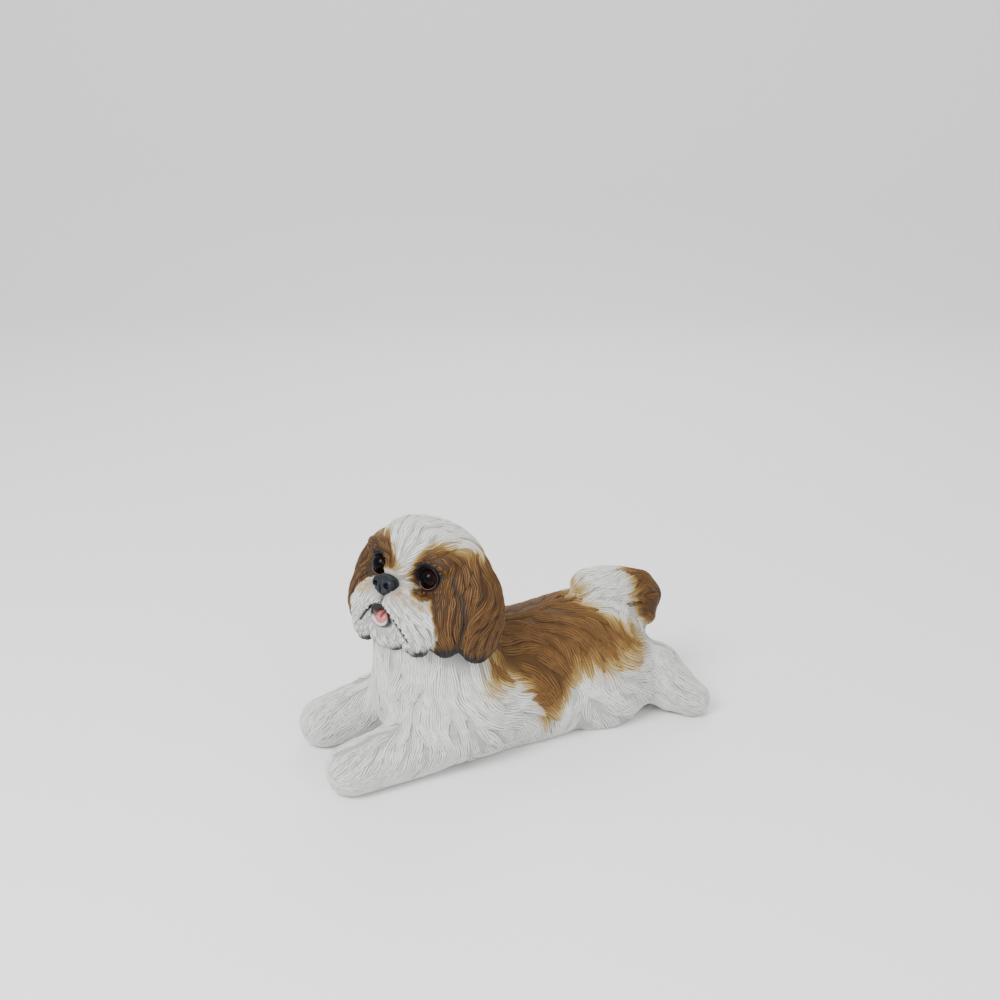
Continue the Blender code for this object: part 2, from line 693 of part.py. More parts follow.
def make_body(head_form):
    """Body form with its coat, its neck ending under the head, with legs, tail and neck parted off."""
    whole = shape("torso", body, *BODY_ROOM, BODY_CELL)
    points = points_of(whole)
    thin(whole, BODY_TRIANGLES)
    coat = locks(body, body_comb, points, BODY_LOCK, clear_on_body, BODY_SEED)
    boolean(whole, coat, "UNION")
    drop(coat)
    stand_flat(whole)
    wider = copy_of(head_form, "wider", GAP)
    boolean(whole, [wider], "DIFFERENCE")
    drop([wider])
    keep_largest(whole)
    pieces = {}
    for name, (centre, radii) in BODY_CUTS.items():
        pieces[name] = part_off(whole, egg_cutter(centre, radii), name)
    pieces["torso"] = whole
    return pieces


def centre(pieces):
    """Move all meshes so that the middle of the statue's box is over the origin."""
    corners = np.concatenate([points_of(piece) for piece in pieces])
    middle = (corners.min(0) + corners.max(0)) / 2
    for piece in pieces:
        for vertex in piece.data.vertices:
            vertex.co -= Vector((middle[0], middle[1], 0))


def main():
    drop(list(bpy.data.objects))
    head_form, head_points, set_in = make_head()
    pieces = make_body(head_form)
    pieces.update(part_head(head_form, head_points, set_in))
    for name, piece in pieces.items():
        keep_largest(piece)
        paint(piece, FINISHES.get(name.split("_")[0], WHITE_PAINT))
    centre(pieces.values())


main()
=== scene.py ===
"""Painted cast-resin statue of a shih tzu puppy, lying outstretched with its head up.

The dog faces -Y, its left side is +X and it lies on z = 0. Lengths are in metres.
"""

import bpy
import numpy as np
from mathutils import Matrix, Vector, kdtree


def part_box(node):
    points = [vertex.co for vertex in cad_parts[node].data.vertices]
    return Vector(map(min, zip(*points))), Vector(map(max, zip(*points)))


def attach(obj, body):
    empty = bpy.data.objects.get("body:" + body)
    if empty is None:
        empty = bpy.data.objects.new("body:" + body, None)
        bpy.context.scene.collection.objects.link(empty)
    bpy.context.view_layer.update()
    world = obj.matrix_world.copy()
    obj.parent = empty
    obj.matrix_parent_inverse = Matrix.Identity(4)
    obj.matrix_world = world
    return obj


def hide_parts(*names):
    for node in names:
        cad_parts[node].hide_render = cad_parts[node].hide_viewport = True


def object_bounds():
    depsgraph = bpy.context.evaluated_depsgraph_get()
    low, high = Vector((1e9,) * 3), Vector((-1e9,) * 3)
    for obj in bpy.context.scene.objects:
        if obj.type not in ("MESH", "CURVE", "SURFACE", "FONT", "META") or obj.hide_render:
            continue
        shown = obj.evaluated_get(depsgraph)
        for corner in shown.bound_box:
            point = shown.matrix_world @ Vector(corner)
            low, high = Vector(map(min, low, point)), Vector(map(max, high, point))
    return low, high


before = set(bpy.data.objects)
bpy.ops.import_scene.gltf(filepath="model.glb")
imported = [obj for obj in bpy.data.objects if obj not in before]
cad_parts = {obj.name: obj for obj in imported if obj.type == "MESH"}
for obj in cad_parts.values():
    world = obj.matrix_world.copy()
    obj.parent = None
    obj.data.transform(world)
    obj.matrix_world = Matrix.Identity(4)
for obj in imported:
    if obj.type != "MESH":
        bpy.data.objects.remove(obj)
cad_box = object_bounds()


# The body casting: chest, loin, rump, neck, limbs and tail as one smooth form, poured in resin.
# Its shape is a distance field of eggs and round cones blended into each other, with the CAD's sizes.
CHEST = ((0, -0.062, 0.056), (0.072, 0.068, 0.071))
LOIN = ((0, 0.015, 0.050), (0.068, 0.095, 0.072))
RUMP = ((0, 0.090, 0.055), (0.066, 0.070, 0.071))
TORSO_BLEND = 0.030
NECK_PATH = ((0, -0.083, 0.070), (0.003, -0.090, 0.135))
NECK_RADII = (0.054, 0.050)
FORELEG_LEFT = ((0.042, -0.062, 0.045), (0.040, -0.115, 0.029), (0.0435, -0.191, 0.0225))
FORELEG_RIGHT = ((-0.046, -0.062, 0.050), (-0.052, -0.115, 0.032), (-0.0565, -0.1760, 0.0224))
FORELEG_RADII = (0.034, 0.030, 0.0240)
LEG_BLEND = 0.018
THIGH = ((0.041, 0.092, 0.043), (0.034, 0.050, 0.053))
SHANK_PATH = ((0.030, 0.130, 0.040), (0.038, 0.153, 0.038), (0.057, 0.166, 0.025), (0.075, 0.178, 0.0165))
SHANK_RADII = (0.034, 0.031, 0.024, 0.0178)
THIGH_BLEND = 0.012
TAIL_PATH = ((0, 0.128, 0.090), (0, 0.160, 0.095), (0, 0.165, 0.108), (0, 0.156, 0.119),
             (0.001, 0.135, 0.125), (0.002, 0.112, 0.131), (0.002, 0.094, 0.134))
TAIL_RADII = (0.026, 0.019, 0.0175, 0.018, 0.019, 0.019, 0.017)
TAIL_BLEND = 0.010
TAIL_FOLD = ((0.0235, 0.147, 0.118), (0.0250, 0.155, 0.099))
TAIL_FOLD_RADIUS = 0.0045
FOLD_ROUNDING = 0.006


def egg(p, centre, radii, tilt=None):
    """Distance to an ellipsoid: with k the length of p scaled by the half-sizes, k (k - 1) over the
    length of p scaled twice. Negative inside."""
    q = p - np.asarray(centre)
    if tilt is not None:
        q = q @ tilt
    q = q / np.asarray(radii)
    near = np.sqrt((q * q).sum(1)) + 1e-9
    steep = q / np.asarray(radii)
    return near * (near - 1) / (np.sqrt((steep * steep).sum(1)) + 1e-9)


def tube(p, path, radii):
    """Distance to a chain of round cones: to the nearest point of the path, less its radius there."""
    best = np.full(len(p), 1e3)
    for start, end, r0, r1 in zip(path, path[1:], radii, radii[1:]):
        run = np.subtract(end, start)
        along = np.clip((p - np.asarray(start)) @ run / (run @ run), 0, 1)
        away = p - np.asarray(start) - along[:, None] * run
        best = np.minimum(best, np.sqrt((away * away).sum(1)) - (r0 + (r1 - r0) * along))
    return best


def blend(a, b, width):
    """Lesser of two fields, less a quarter of width times the square of their nearness."""
    near = np.maximum(width - np.abs(a - b), 0) / width
    return np.minimum(a, b) - near * near * width * 0.25


def carve(a, b, width):
    """Field a with field b taken out, its rim rounded over a width."""
    return -blend(-a, b, width)


def mirrored(points, side):
    return [(side * x, y, z) for x, y, z in points]


def both_sides(p):
    """Both halves of a form folded onto the +X side."""
    return np.abs(p[:, :1]) * (1, 0, 0) + p * (0, 1, 1)


def tail_fold(p):
    return tube(both_sides(p), TAIL_FOLD, (TAIL_FOLD_RADIUS, TAIL_FOLD_RADIUS))


def limbs(p):
    """Fields of the four limbs: left and right foreleg, left and right hind leg."""
    fields = [tube(p, path, FORELEG_RADII) for path in (FORELEG_LEFT, FORELEG_RIGHT)]
    for side in (1, -1):
        thigh = egg(p, mirrored([THIGH[0]], side)[0], THIGH[1])
        fields.append(blend(thigh, tube(p, mirrored(SHANK_PATH, side), SHANK_RADII), THIGH_BLEND))
    return fields


def body(p):
    """Torso, neck, four limbs and tail as one blended field, cut off flat at the ground."""
    f = blend(egg(p, *CHEST), egg(p, *LOIN), TORSO_BLEND)
    f = blend(f, egg(p, *RUMP), TORSO_BLEND)
    f = blend(f, tube(p, NECK_PATH, NECK_RADII), TORSO_BLEND)
    for limb, width in zip(limbs(p), (LEG_BLEND, LEG_BLEND, THIGH_BLEND, THIGH_BLEND)):
        f = blend(f, limb, width)
    f = blend(f, tube(p, TAIL_PATH, TAIL_RADII), TAIL_BLEND)
    return carve(f, tail_fold(p), FOLD_ROUNDING)


def grounded(p):
    return np.maximum(body(p), -p[:, 2])


# The head casting: skull, brows, cheeks, muzzle, chin and hanging ears, modelled in a frame of its own
# between the eyes and set on the neck turned to the dog's left and tipped up.
EYES_MIDDLE = np.array((0.012, -0.1163, 0.1946))
HEAD_YAW = 21.0
HEAD_TIP = 18.0
EYE_SIDE = 0.0300
EYE_DEPTH = 0.0045
EYE_RADIUS = 0.0110
SOCKET = ((EYE_SIDE, -0.006, 0), (0.0115, 0.013, 0.0105))
LIP_LEFT = ((0, -0.0265, -0.0305), (0.0085, -0.0250, -0.0355), (0.0131, -0.0209, -0.0415),
            (0.0184, -0.0185, -0.0467), (0.0262, -0.0163, -0.0533), (0.0312, -0.0144, -0.0586))
LIP_RIGHT = ((0, -0.0265, -0.0305), (-0.0085, -0.0250, -0.0345), (-0.0131, -0.0224, -0.0370),
             (-0.0189, -0.0208, -0.0429), (-0.0278, -0.0160, -0.0526))
LIP_RADII = (0.0014, 0.0017, 0.0017, 0.0016, 0.0013, 0.0008)
RIGHT_LIP_THINNER = 0.0007
MOUTH = ((0, -0.0240, -0.0400), (0.0108, 0.0125, 0.0082))


def turn(yaw, tip):
    """Turn by yaw degrees about Z after tipping the -Y nose up by tip degrees about X."""
    y, t = np.radians([yaw, -tip])
    about_z = np.array([[np.cos(y), -np.sin(y), 0], [np.sin(y), np.cos(y), 0], [0, 0, 1]])
    about_x = np.array([[1, 0, 0], [0, np.cos(t), -np.sin(t)], [0, np.sin(t), np.cos(t)]])
    return about_z @ about_x


def lean(degrees):
    """Turn about Y, so that a +X side piece leans its foot outward."""
    r = np.radians(-degrees)
    return np.array([[np.cos(r), 0, np.sin(r)], [0, 1, 0], [-np.sin(r), 0, np.cos(r)]])


HEAD_TURN = turn(HEAD_YAW, HEAD_TIP)


def head_frame(p):
    return (p - EYES_MIDDLE) @ HEAD_TURN


def from_head(q):
    return np.asarray(q) @ HEAD_TURN.T + EYES_MIDDLE


def ear(m):
    flap = egg(m, (0.065, 0.042, -0.031), (0.0145, 0.031, 0.038), lean(6))
    root = egg(m, (0.052, 0.032, 0.006), (0.016, 0.024, 0.030), lean(22))
    return blend(flap, root, 0.020)


def muzzle(m):
    """Whisker pads and the two moustache lobes."""
    pad = egg(m, (0.0155, -0.0075, -0.027), (0.0205, 0.0210, 0.0175))
    lobe = egg(m, (0.0305, 0.0005, -0.045), (0.0175, 0.0170, 0.0270))
    middle = egg(m, (0.023, 0.001, -0.036), (0.0220, 0.0195, 0.0220))
    return blend(blend(pad, lobe, 0.010), middle, 0.010)


def chin(q):
    return egg(q, (0, 0, -0.055), (0.0260, 0.0185, 0.0172))


def lips(q):
    """The line of the closed lips, down each side of the mouth, finer on the right."""
    return np.minimum(tube(q, LIP_LEFT, LIP_RADII), tube(q, LIP_RIGHT, LIP_RADII) + RIGHT_LIP_THINNER)


def face(q):
    """Head without its ears: skull, forehead, brows, cheeks, jaw, chin and muzzle, with sockets, mouth
    and lip grooves taken out."""
    m = both_sides(q)
    f = egg(q, (0, 0.036, 0.004), (0.061, 0.042, 0.046))
    f = blend(f, egg(q, (0, 0.012, 0.024), (0.036, 0.022, 0.026)), 0.015)
    f = blend(f, egg(m, (0.031, 0.006, 0.0155), (0.022, 0.011, 0.010)), 0.008)
    f = blend(f, egg(m, (0.045, 0.022, -0.032), (0.026, 0.029, 0.037)), 0.012)
    f = blend(f, egg(q, (0, 0.035, -0.036), (0.045, 0.040, 0.034)), 0.015)
    f = blend(f, chin(q), 0.008)
    f = blend(f, muzzle(m), 0.0025)
    f = blend(f, egg(q, (0, -0.009, 0), (0.012, 0.012, 0.009)), 0.010)
    f = carve(f, egg(m, *SOCKET), 0.004)
    f = carve(f, egg(q, *MOUTH), 0.003)
    return carve(f, lips(q), 0.002)


def head(p):
    q = head_frame(p)
    return blend(face(q), ear(both_sides(q)), 0.005)


# The skin of each casting: the surface of its field as a fine closed net of quads, moved from the
# modeller's frame to the statue's by what the left eye's place in the CAD says.
SKIN_CELL = 0.0017
HEAD_SKIN_CELL = 0.0011
COARSE = 5
eye_low, eye_high = (np.array(corner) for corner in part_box("eye_left"))
SHIFT = (eye_low + eye_high) / 2 - from_head((EYE_SIDE, EYE_DEPTH, 0))


def sample(field, axes, cell):
    """Field values on a grid: exact near the surface, and elsewhere those of a coarser grid."""
    coarse = [a[::COARSE] for a in axes]
    grid = np.stack(np.meshgrid(*coarse, indexing="ij"), -1)
    rough = field(grid.reshape(-1, 3)).reshape(grid.shape[:3])
    value = rough
    for axis in range(3):
        value = np.repeat(value, COARSE, axis)
    value = value[:len(axes[0]), :len(axes[1]), :len(axes[2])]
    near = np.argwhere(np.abs(value) < 2.2 * COARSE * cell)
    fine = np.stack([a[i] for a, i in zip(axes, near.T)], 1)
    value[tuple(near.T)] = field(fine)
    return value


def net(field, low, high, cell):
    """Closed quads on the zero surface of a field: one point in each cell that it crosses, at the mean
    of its crossings of the cell's edges, and one quad round each grid edge that it crosses."""
    axes = [a + cell * np.arange(int((b - a) / cell / COARSE + 1) * COARSE) for a, b in zip(low, high)]
    value = sample(field, axes, cell)
    inside = value < 0
    corners = [(i, j, k) for i in (0, 1) for j in (0, 1) for k in (0, 1)]
    nx, ny, nz = (n - 1 for n in value.shape)
    filled = sum(inside[i:nx + i, j:ny + j, k:nz + k].astype(np.int8) for i, j, k in corners)
    cells = np.argwhere((filled > 0) & (filled < 8))
    number = np.full(filled.shape, -1)
    number[tuple(cells.T)] = np.arange(len(cells))
    total = np.zeros((len(cells), 3))
    hits = np.zeros(len(cells))
    for corner in corners:
        for axis in range(3):
            if corner[axis]:
                continue
            other = np.array(corner)
            other[axis] = 1
            a = value[tuple((cells + corner).T)]
            b = value[tuple((cells + other).T)]
            crossed = (a < 0) != (b < 0)
            place = np.repeat(np.array([corner], float), len(cells), 0)
            place[:, axis] += np.where(crossed, a / np.where(crossed, a - b, 1), 0)
            total += place * crossed[:, None]
            hits += crossed
    points = (cells + total / hits[:, None]) * cell + [a[0] for a in axes]
    quads = []
    for axis, u, w in ((0, 1, 2), (1, 2, 0), (2, 0, 1)):
        ends = [slice(None)] * 3
        starts = [slice(None)] * 3
        starts[axis] = slice(0, -1)
        ends[axis] = slice(1, None)
        edges = np.argwhere(inside[tuple(starts)] != inside[tuple(ends)])
        step_u = np.eye(3, dtype=int)[u]
        step_w = np.eye(3, dtype=int)[w]
        shifts = (step_u + step_w, step_w, 0 * step_u, step_u)
        ring = np.stack([number[tuple((edges - shift).T)] for shift in shifts], 1)
        leaving = inside[tuple(edges.T)]
        ring[~leaving] = ring[~leaving][:, ::-1]
        quads.append(ring)
    return points, np.concatenate(quads)


def build(name, points, faces, marks=None, patch=None):
    """Object from arrays of points and faces, moved to the statue's frame. Marks are values kept on the
    points; patch is a place on the coat's unwrap for each point."""
    mesh = bpy.data.meshes.new(name)
    corners = np.concatenate([f.ravel() for f in faces])
    sizes = np.concatenate([np.full(len(f), f.shape[1]) for f in faces])
    mesh.vertices.add(len(points))
    mesh.vertices.foreach_set("co", (points + SHIFT).astype(np.float32).ravel())
    mesh.loops.add(len(corners))
    mesh.loops.foreach_set("vertex_index", corners.astype(np.int32))
    mesh.polygons.add(len(sizes))
    mesh.polygons.foreach_set("loop_start", np.concatenate([[0], np.cumsum(sizes)[:-1]]).astype(np.int32))
    mesh.update(calc_edges=True)
    for word, value in (marks or {}).items():
        mesh.attributes.new(word, "FLOAT", "POINT").data.foreach_set("value", value.astype(np.float32))
    if patch is not None:
        mesh.uv_layers.new(name="OFBake").data.foreach_set("uv", patch[corners].astype(np.float32).ravel())
    mesh.validate()
    mesh.shade_smooth()
    thing = bpy.data.objects.new(name, mesh)
    bpy.context.collection.objects.link(thing)
    return thing


body_points, body_quads = net(grounded, (-0.110, -0.235, -0.004), (0.110, 0.215, 0.190), SKIN_CELL)
head_points, head_quads = net(head, (-0.110, -0.180, 0.090), (0.120, 0.020, 0.270), HEAD_SKIN_CELL)


# The lie of the combed coat: back along the spine, round and down the sides with a whorl on shoulder
# and thigh, forward down flank and chest, out along limbs and tail, and fanned over the face.
WHORLS = (((-0.052, 0.086), 0.030, 1.5), ((0.106, 0.088), 0.034, 2.2))
BRIDGE = (0, -0.016, -0.002)
NOSE_MIDDLE = (0, -0.024, -0.010)
WAVE_LENGTH = 0.055
WAVE_SWING = 0.24


def rise(v, low, high):
    """0 up to low, 1 from high on and a smooth step between them, as a column."""
    t = np.clip((v - low) / (high - low), 0, 1)
    return (t * t * (3 - 2 * t))[:, None]


def mix(a, b, t):
    return a * (1 - t) + b * t


def run_of(p, path):
    """Direction of a path at its place nearest to each point."""
    best = np.full(len(p), 1e3)
    run = np.zeros_like(p)
    for start, end in zip(path, path[1:]):
        step = np.subtract(end, start)
        along = np.clip((p - np.asarray(start)) @ step / (step @ step), 0, 1)
        away = np.linalg.norm(p - np.asarray(start) - along[:, None] * step, axis=1)
        run[away < best] = step / np.linalg.norm(step)
        best = np.minimum(best, away)
    return run


def on_tail(p):
    return rise(-tube(p, TAIL_PATH, TAIL_RADII), -0.010, -0.002) * rise(p[:, 2], 0.084, 0.095)


def body_comb(p):
    """Weighted mix of a direction for each region of the body, plus a turning part at each whorl."""
    x, y, z = p.T
    side = np.clip(x / 0.012, -1, 1)[:, None] * (1, 0, 0)
    d = mix(0.15 * side + (0, 0.50, -1), 0.25 * side + (0, 1, -0.15), rise(z, 0.085, 0.122))
    d = mix(d, np.array((0, -0.12, -1)), rise(-y, 0.075, 0.105))
    flanks = rise(-z, -0.125, -0.105)[:, 0] * rise(np.abs(x), 0.012, 0.034)[:, 0]
    for (along, up), reach, strength in WHORLS:
        ry = (y - along) / reach
        rz = (z - up) / reach
        pull = strength * np.exp(-(ry ** 2 + rz ** 2) / 2) * flanks
        d = d + np.stack([0 * y, -rz * pull, ry * pull], 1)
    flank = rise(-np.abs(y - 0.040), -0.024, -0.004) * rise(-z, -0.065, -0.035)
    d = mix(d, np.array((0, -0.45, -1)), flank)
    for path in (FORELEG_LEFT, FORELEG_RIGHT):
        own = (np.sign(path[0][0]) == np.sign(x))[:, None]
        near = rise(-tube(p, path, FORELEG_RADII), -0.014, -0.002) * rise(-y, 0.060, 0.100) * own
        high = np.clip((z - 0.024) / 0.025, -1, 1)
        forward = 0.55 * high - 0.25 - 1.1 * rise(-y, 0.11, 0.18)[:, 0]
        d = mix(d, np.stack([0 * y, forward, -1 + 0 * y], 1), near)
    shank = rise(y, 0.128, 0.146) * rise(-z, -0.085, -0.070)
    d = mix(d, 0.75 * side + (0, 0.6, -0.5), shank)
    return mix(d, run_of(p, TAIL_PATH) + (0, 0, -0.35), on_tail(p))


def head_comb(p):
    """Mix of directions for crown, cheek, ear, muzzle and beard, in the head's frame."""
    q = head_frame(p)
    m = both_sides(q)
    x, y, z = m.T
    d = (m - BRIDGE) / np.linalg.norm(m - BRIDGE, axis=1)[:, None]
    fall = np.maximum(rise(x, 0.034, 0.056) * rise(-z, -0.044, -0.012), rise(y, 0.050, 0.075))
    d = mix(d, np.array((0.05, 0.12, -1)), fall)
    cheek = rise(x, 0.030, 0.045) * rise(-z, -0.012, 0.004) * rise(-y, -0.030, -0.012)
    d = mix(d, np.array((0.15, 0.25, -1)), cheek)
    flap = rise(y, 0.014, 0.024) * rise(x, 0.048, 0.058)
    sway = np.sin((z + 0.010) / 0.0125)
    d = mix(d, np.stack([0 * x, 0.42 * sway - 0.30, -1 + 0 * x], 1), flap)
    fan = (m - NOSE_MIDDLE) / np.linalg.norm(m - NOSE_MIDDLE, axis=1)[:, None]
    d = mix(d, fan + (0.05, 0.1, -0.45), rise(-muzzle(m), -0.004, 0.0005))
    beard = rise(-z, 0.045, 0.052) * rise(-x, -0.022, -0.014) * rise(-y, -0.015, 0.0)
    d = mix(d, m * (25, 0, 0) + (0, -0.15, -1), beard)
    flip = np.where(q[:, :1] < 0, -1, 1) * (1, 0, 0) + np.array((0, 1, 1))
    return (d * flip) @ HEAD_TURN.T


def slope(field, p, step=0.0004):
    """Outward unit normals: the field's differences over a short step each way."""
    g = np.stack([field(p + d) - field(p - d) for d in np.eye(3) * step], 1)
    return g / (np.linalg.norm(g, axis=1)[:, None] + 1e-12)


def waved(comb, p, n):
    """Comb direction in the surface, swung from side to side by a slow wave through the coat."""
    d = comb(p)
    d = d - (d * n).sum(1)[:, None] * n
    d = d / (np.linalg.norm(d, axis=1)[:, None] + 1e-9)
    k = 2 * np.pi / WAVE_LENGTH
    wave = np.sin(k * (p @ (0.5, 0.6, 1.0)) + 2 * np.sin(k * 0.45 * (p @ (-0.8, 0.7, 0.4))))
    d = d + WAVE_SWING * wave[:, None] * np.cross(n, d)
    return d / (np.linalg.norm(d, axis=1)[:, None] + 1e-9)


def trace(field, comb, roots, lengths, steps):
    """Paths of steps + 1 points from the roots along the comb direction, held on the surface, and the
    surface's normals there."""
    n = slope(field, roots)
    path = [roots - n * field(roots)[:, None]]
    normals = [n]
    for _ in range(steps):
        p = path[-1] + waved(comb, path[-1], normals[-1]) * (lengths / steps)[:, None]
        n = slope(field, p)
        path.append(p - n * field(p)[:, None])
        normals.append(n)
    return np.stack(path, 1), np.stack(normals, 1)


def scatter(points, spacing, seed):
    """Numbers of points picked in a seeded order, each clearing its own spacing round itself."""
    tree = kdtree.KDTree(len(points))
    for i, point in enumerate(points):
        tree.insert(point, i)
    tree.balance()
    free = np.ones(len(points), bool)
    picked = []
    for i in np.random.default_rng(seed).permutation(len(points)):
        if free[i]:
            picked.append(i)
            free[[near[1] for near in tree.find_range(points[i], spacing[i])]] = False
    return np.array(picked)


# Locks of the coat, combed in the clay before casting: each is a low flame-shaped mound that rises
# from the skin, carries a few strands and ends in a point on the locks below it.
LOCK_SINK = 0.0007
RINGS = 11
STRAND = 0.0023
STRAND_RISE = 0.20
PATCH = 0.003
ROOM_LOW, ROOM_HIGH = (np.array(corner) - SHIFT for corner in cad_box)


def flame(s):
    """Width along a lock: s to 0.5 times 1 - s to 0.7, its greatest value taken as 1."""
    w = s ** 0.5 * (1 - s) ** 0.7
    return w / w.max()


def within_room(p, n, lift):
    """Lift off a point along its normal, held inside the CAD's box: with r the way to the box, a lift
    above 0 becomes r (1 - e to the power of minus lift over r)."""
    limit = np.where(n > 0, ROOM_HIGH - p, ROOM_LOW - p) / np.where(np.abs(n) > 1e-6, n, 1e-6)
    room = np.maximum(np.abs(limit).min(1), 1e-5)
    return np.where(lift > 0, room * (1 - np.exp(-np.maximum(lift, 0) / room)), lift)


def lock_sheets(field, path, normals, width, height, sides, rng):
    """Points of many locks at once. Across a lock, v runs from -1 to 1 and the point is the path's,
    moved sideways by v times half the width and out by the mound (1 - v to the 4th) plus the strands'
    cosine, and kept above the ground. Gives the points as (lock, ring, place across) and how deep in a
    groove each lies, deepest at the lock's edges and root as painted shade between the locks."""
    count = len(path)
    s = np.linspace(0, 1, RINGS + 2)
    v = np.linspace(-1, 1, sides)
    ahead = np.gradient(path, axis=1)
    across = np.cross(normals, ahead)
    across /= np.linalg.norm(across, axis=2)[..., None] + 1e-12
    bend = rng.uniform(-0.15, 0.15, (count, 1)) * np.sin(2 * np.pi * s + rng.uniform(0, 6.28, (count, 1)))
    half = width[:, None] / 2 * flame(s)
    p = path[:, :, None] + across[:, :, None] * (
        (bend * width[:, None])[..., None] + half[..., None] * v)[..., None]
    n = np.broadcast_to(normals[:, :, None], p.shape).reshape(-1, 3)
    flat = p.reshape(-1, 3)
    for _ in range(2):
        flat = flat - n * field(flat)[:, None]
    crown = 1 - v ** 4
    slope_up = np.clip(s / 0.5, 0, 1) ** 0.8 * (1 - 0.6 * np.clip((s - 0.7) / 0.3, 0, 1))
    mound = slope_up[:, None] * (0.2 + 0.8 * crown)
    strands = np.clip(width / STRAND, 1.6, sides / 4)[:, None, None]
    phase = rng.uniform(0, 6.28, (count, 1, 1)) + 0.8 * np.sin(
        2 * np.pi * s[:, None] * rng.uniform(0.4, 1.0, (count, 1, 1)) + rng.uniform(0, 6.28, (count, 1, 1)))
    bunch = v + 0.10 * np.sin(np.pi * v + rng.uniform(0, 6.28, (count, 1, 1)))
    ridge = np.cos(np.pi * strands * bunch + phase)
    fade = (np.sin(np.pi * s) ** 0.3)[:, None] * crown ** 0.5
    height = height[:, None, None] * rng.uniform(0.75, 1.25, (count, 1, 1))
    lift = height * mound + STRAND_RISE * width[:, None, None] / strands * ridge * fade
    lift = lift - LOCK_SINK * (np.abs(v) ** 6 + (1 - np.clip(s / 0.2, 0, 1))[:, None])
    flat = flat + n * within_room(flat, n, lift.ravel())[:, None]
    flat[:, 2] = np.maximum(flat[:, 2], ROOM_LOW[2] + 1e-5)
    # The groove is the wash in the strands' hollows, deepened at the lock's edges and root as painted shade
    # between the locks.
    groove = 0.5 - 0.5 * ridge * fade + 0.5 * v ** 4 + 0.35 * (1 - np.clip(s / 0.3, 0, 1))[:, None]
    return flat.reshape(p.shape), np.clip(groove, 0, 1.3)


def lock_faces(count, sides):
    """Quads and triangles of closed locks: rings of points side by side, their undersides closed
    straight across, and one point at each end."""
    size = RINGS * sides + 2
    ring = 1 + np.arange(RINGS)[:, None] * sides + np.arange(sides)
    after = np.roll(ring, -1, 1)
    quads = np.stack([ring[:-1], ring[1:], after[1:], after[:-1]], -1).reshape(-1, 4)
    root = np.stack([np.zeros(sides, int), ring[0], after[0]], -1)
    tip = np.stack([np.full(sides, size - 1), after[-1], ring[-1]], -1)
    offsets = (np.arange(count) * size)[:, None, None]
    return (quads + offsets).reshape(-1, 4), (np.concatenate([root, tip]) + offsets).reshape(-1, 3)


def ringed(value):
    """Values of (lock, ring, place across), with one kept for each end: its middle one."""
    middle = value.shape[2] // 2
    body = value[:, 1:-1].reshape((len(value), -1) + value.shape[3:])
    return np.concatenate([value[:, 0, middle:middle + 1], body, value[:, -1, middle:middle + 1]], 1)


def coat(name, field, comb, roots, lengths, widths, heights, sides, unwrap, paint_of, seed):
    """One coat piece: all its locks joined, with the paint's marks and the unwrap's patches."""
    rng = np.random.default_rng(seed)
    path, normals = trace(field, comb, roots, lengths, RINGS + 1)
    points, groove = lock_sheets(field, path, normals, widths, heights, sides, rng)
    shape = groove.shape
    along = np.broadcast_to(np.linspace(0, 1, RINGS + 2)[:, None], shape)
    beside = np.broadcast_to(np.linspace(-0.5, 0.5, sides), shape)
    streak = rng.uniform(-1, 1, (len(roots), 1, sides))
    streak = rng.uniform(-1, 1, (len(roots), 1, 1)) + 0.5 * (streak + np.roll(streak, 1, 2))
    drag = mix(points, roots[:, None, None], 0.40 * along[..., None])
    facing = np.broadcast_to(normals[:, :, None, 2], shape)
    flat = ringed(points).reshape(-1, 3)
    marks = paint_of(flat, ringed(drag).reshape(-1, 3), ringed(np.broadcast_to(streak, shape)).ravel(),
                     ringed(facing).ravel())
    marks["groove"] = ringed(groove).ravel()
    marks["strand"] = ringed(beside * widths[:, None, None] + rng.uniform(0, 1, (len(roots), 1, 1))).ravel()
    marks["along"] = ringed(along * lengths[:, None, None] + rng.uniform(0, 1, (len(roots), 1, 1))).ravel()
    patch = unwrap(roots)[:, None] + PATCH * np.stack([ringed(beside), ringed(along) - 0.5], -1)
    return build(name, flat, lock_faces(len(roots), sides), marks, patch.reshape(-1, 2))


# The paint on the body: off-white all over, a tan saddle with cream and gold, streaky edges, and a
# brown band over the tail's bend. It is airbrushed and brushed along the locks, so its edge follows them.
SADDLE_FRONT = -0.058
SADDLE_REAR = 0.129
SADDLE_EDGE = 0.028
SADDLE_DEEP = 0.82
TAIL_BAND = 0.139


def dip(y, middle, reach):
    return np.exp(-((y - middle) / reach) ** 2)


def saddle(p):
    """Depth inside the saddle: the least of the heights above its scalloped hem and of the distances
    from its front and rear."""
    x, y, z = p.T
    left = 0.085 - 0.053 * dip(y, 0.008, 0.025) - 0.014 * dip(y, 0.075, 0.028) - 0.012 * dip(y, 0.113, 0.014)
    right = 0.080 - 0.040 * dip(y, 0.022, 0.028) - 0.012 * dip(y, 0.100, 0.016)
    hem = np.where(x > 0, left, right)
    rear = SADDLE_REAR - 0.047 * rise(z, 0.095, 0.127)[:, 0]
    return np.minimum.reduce([z - hem, y - SADDLE_FRONT, rear - y])


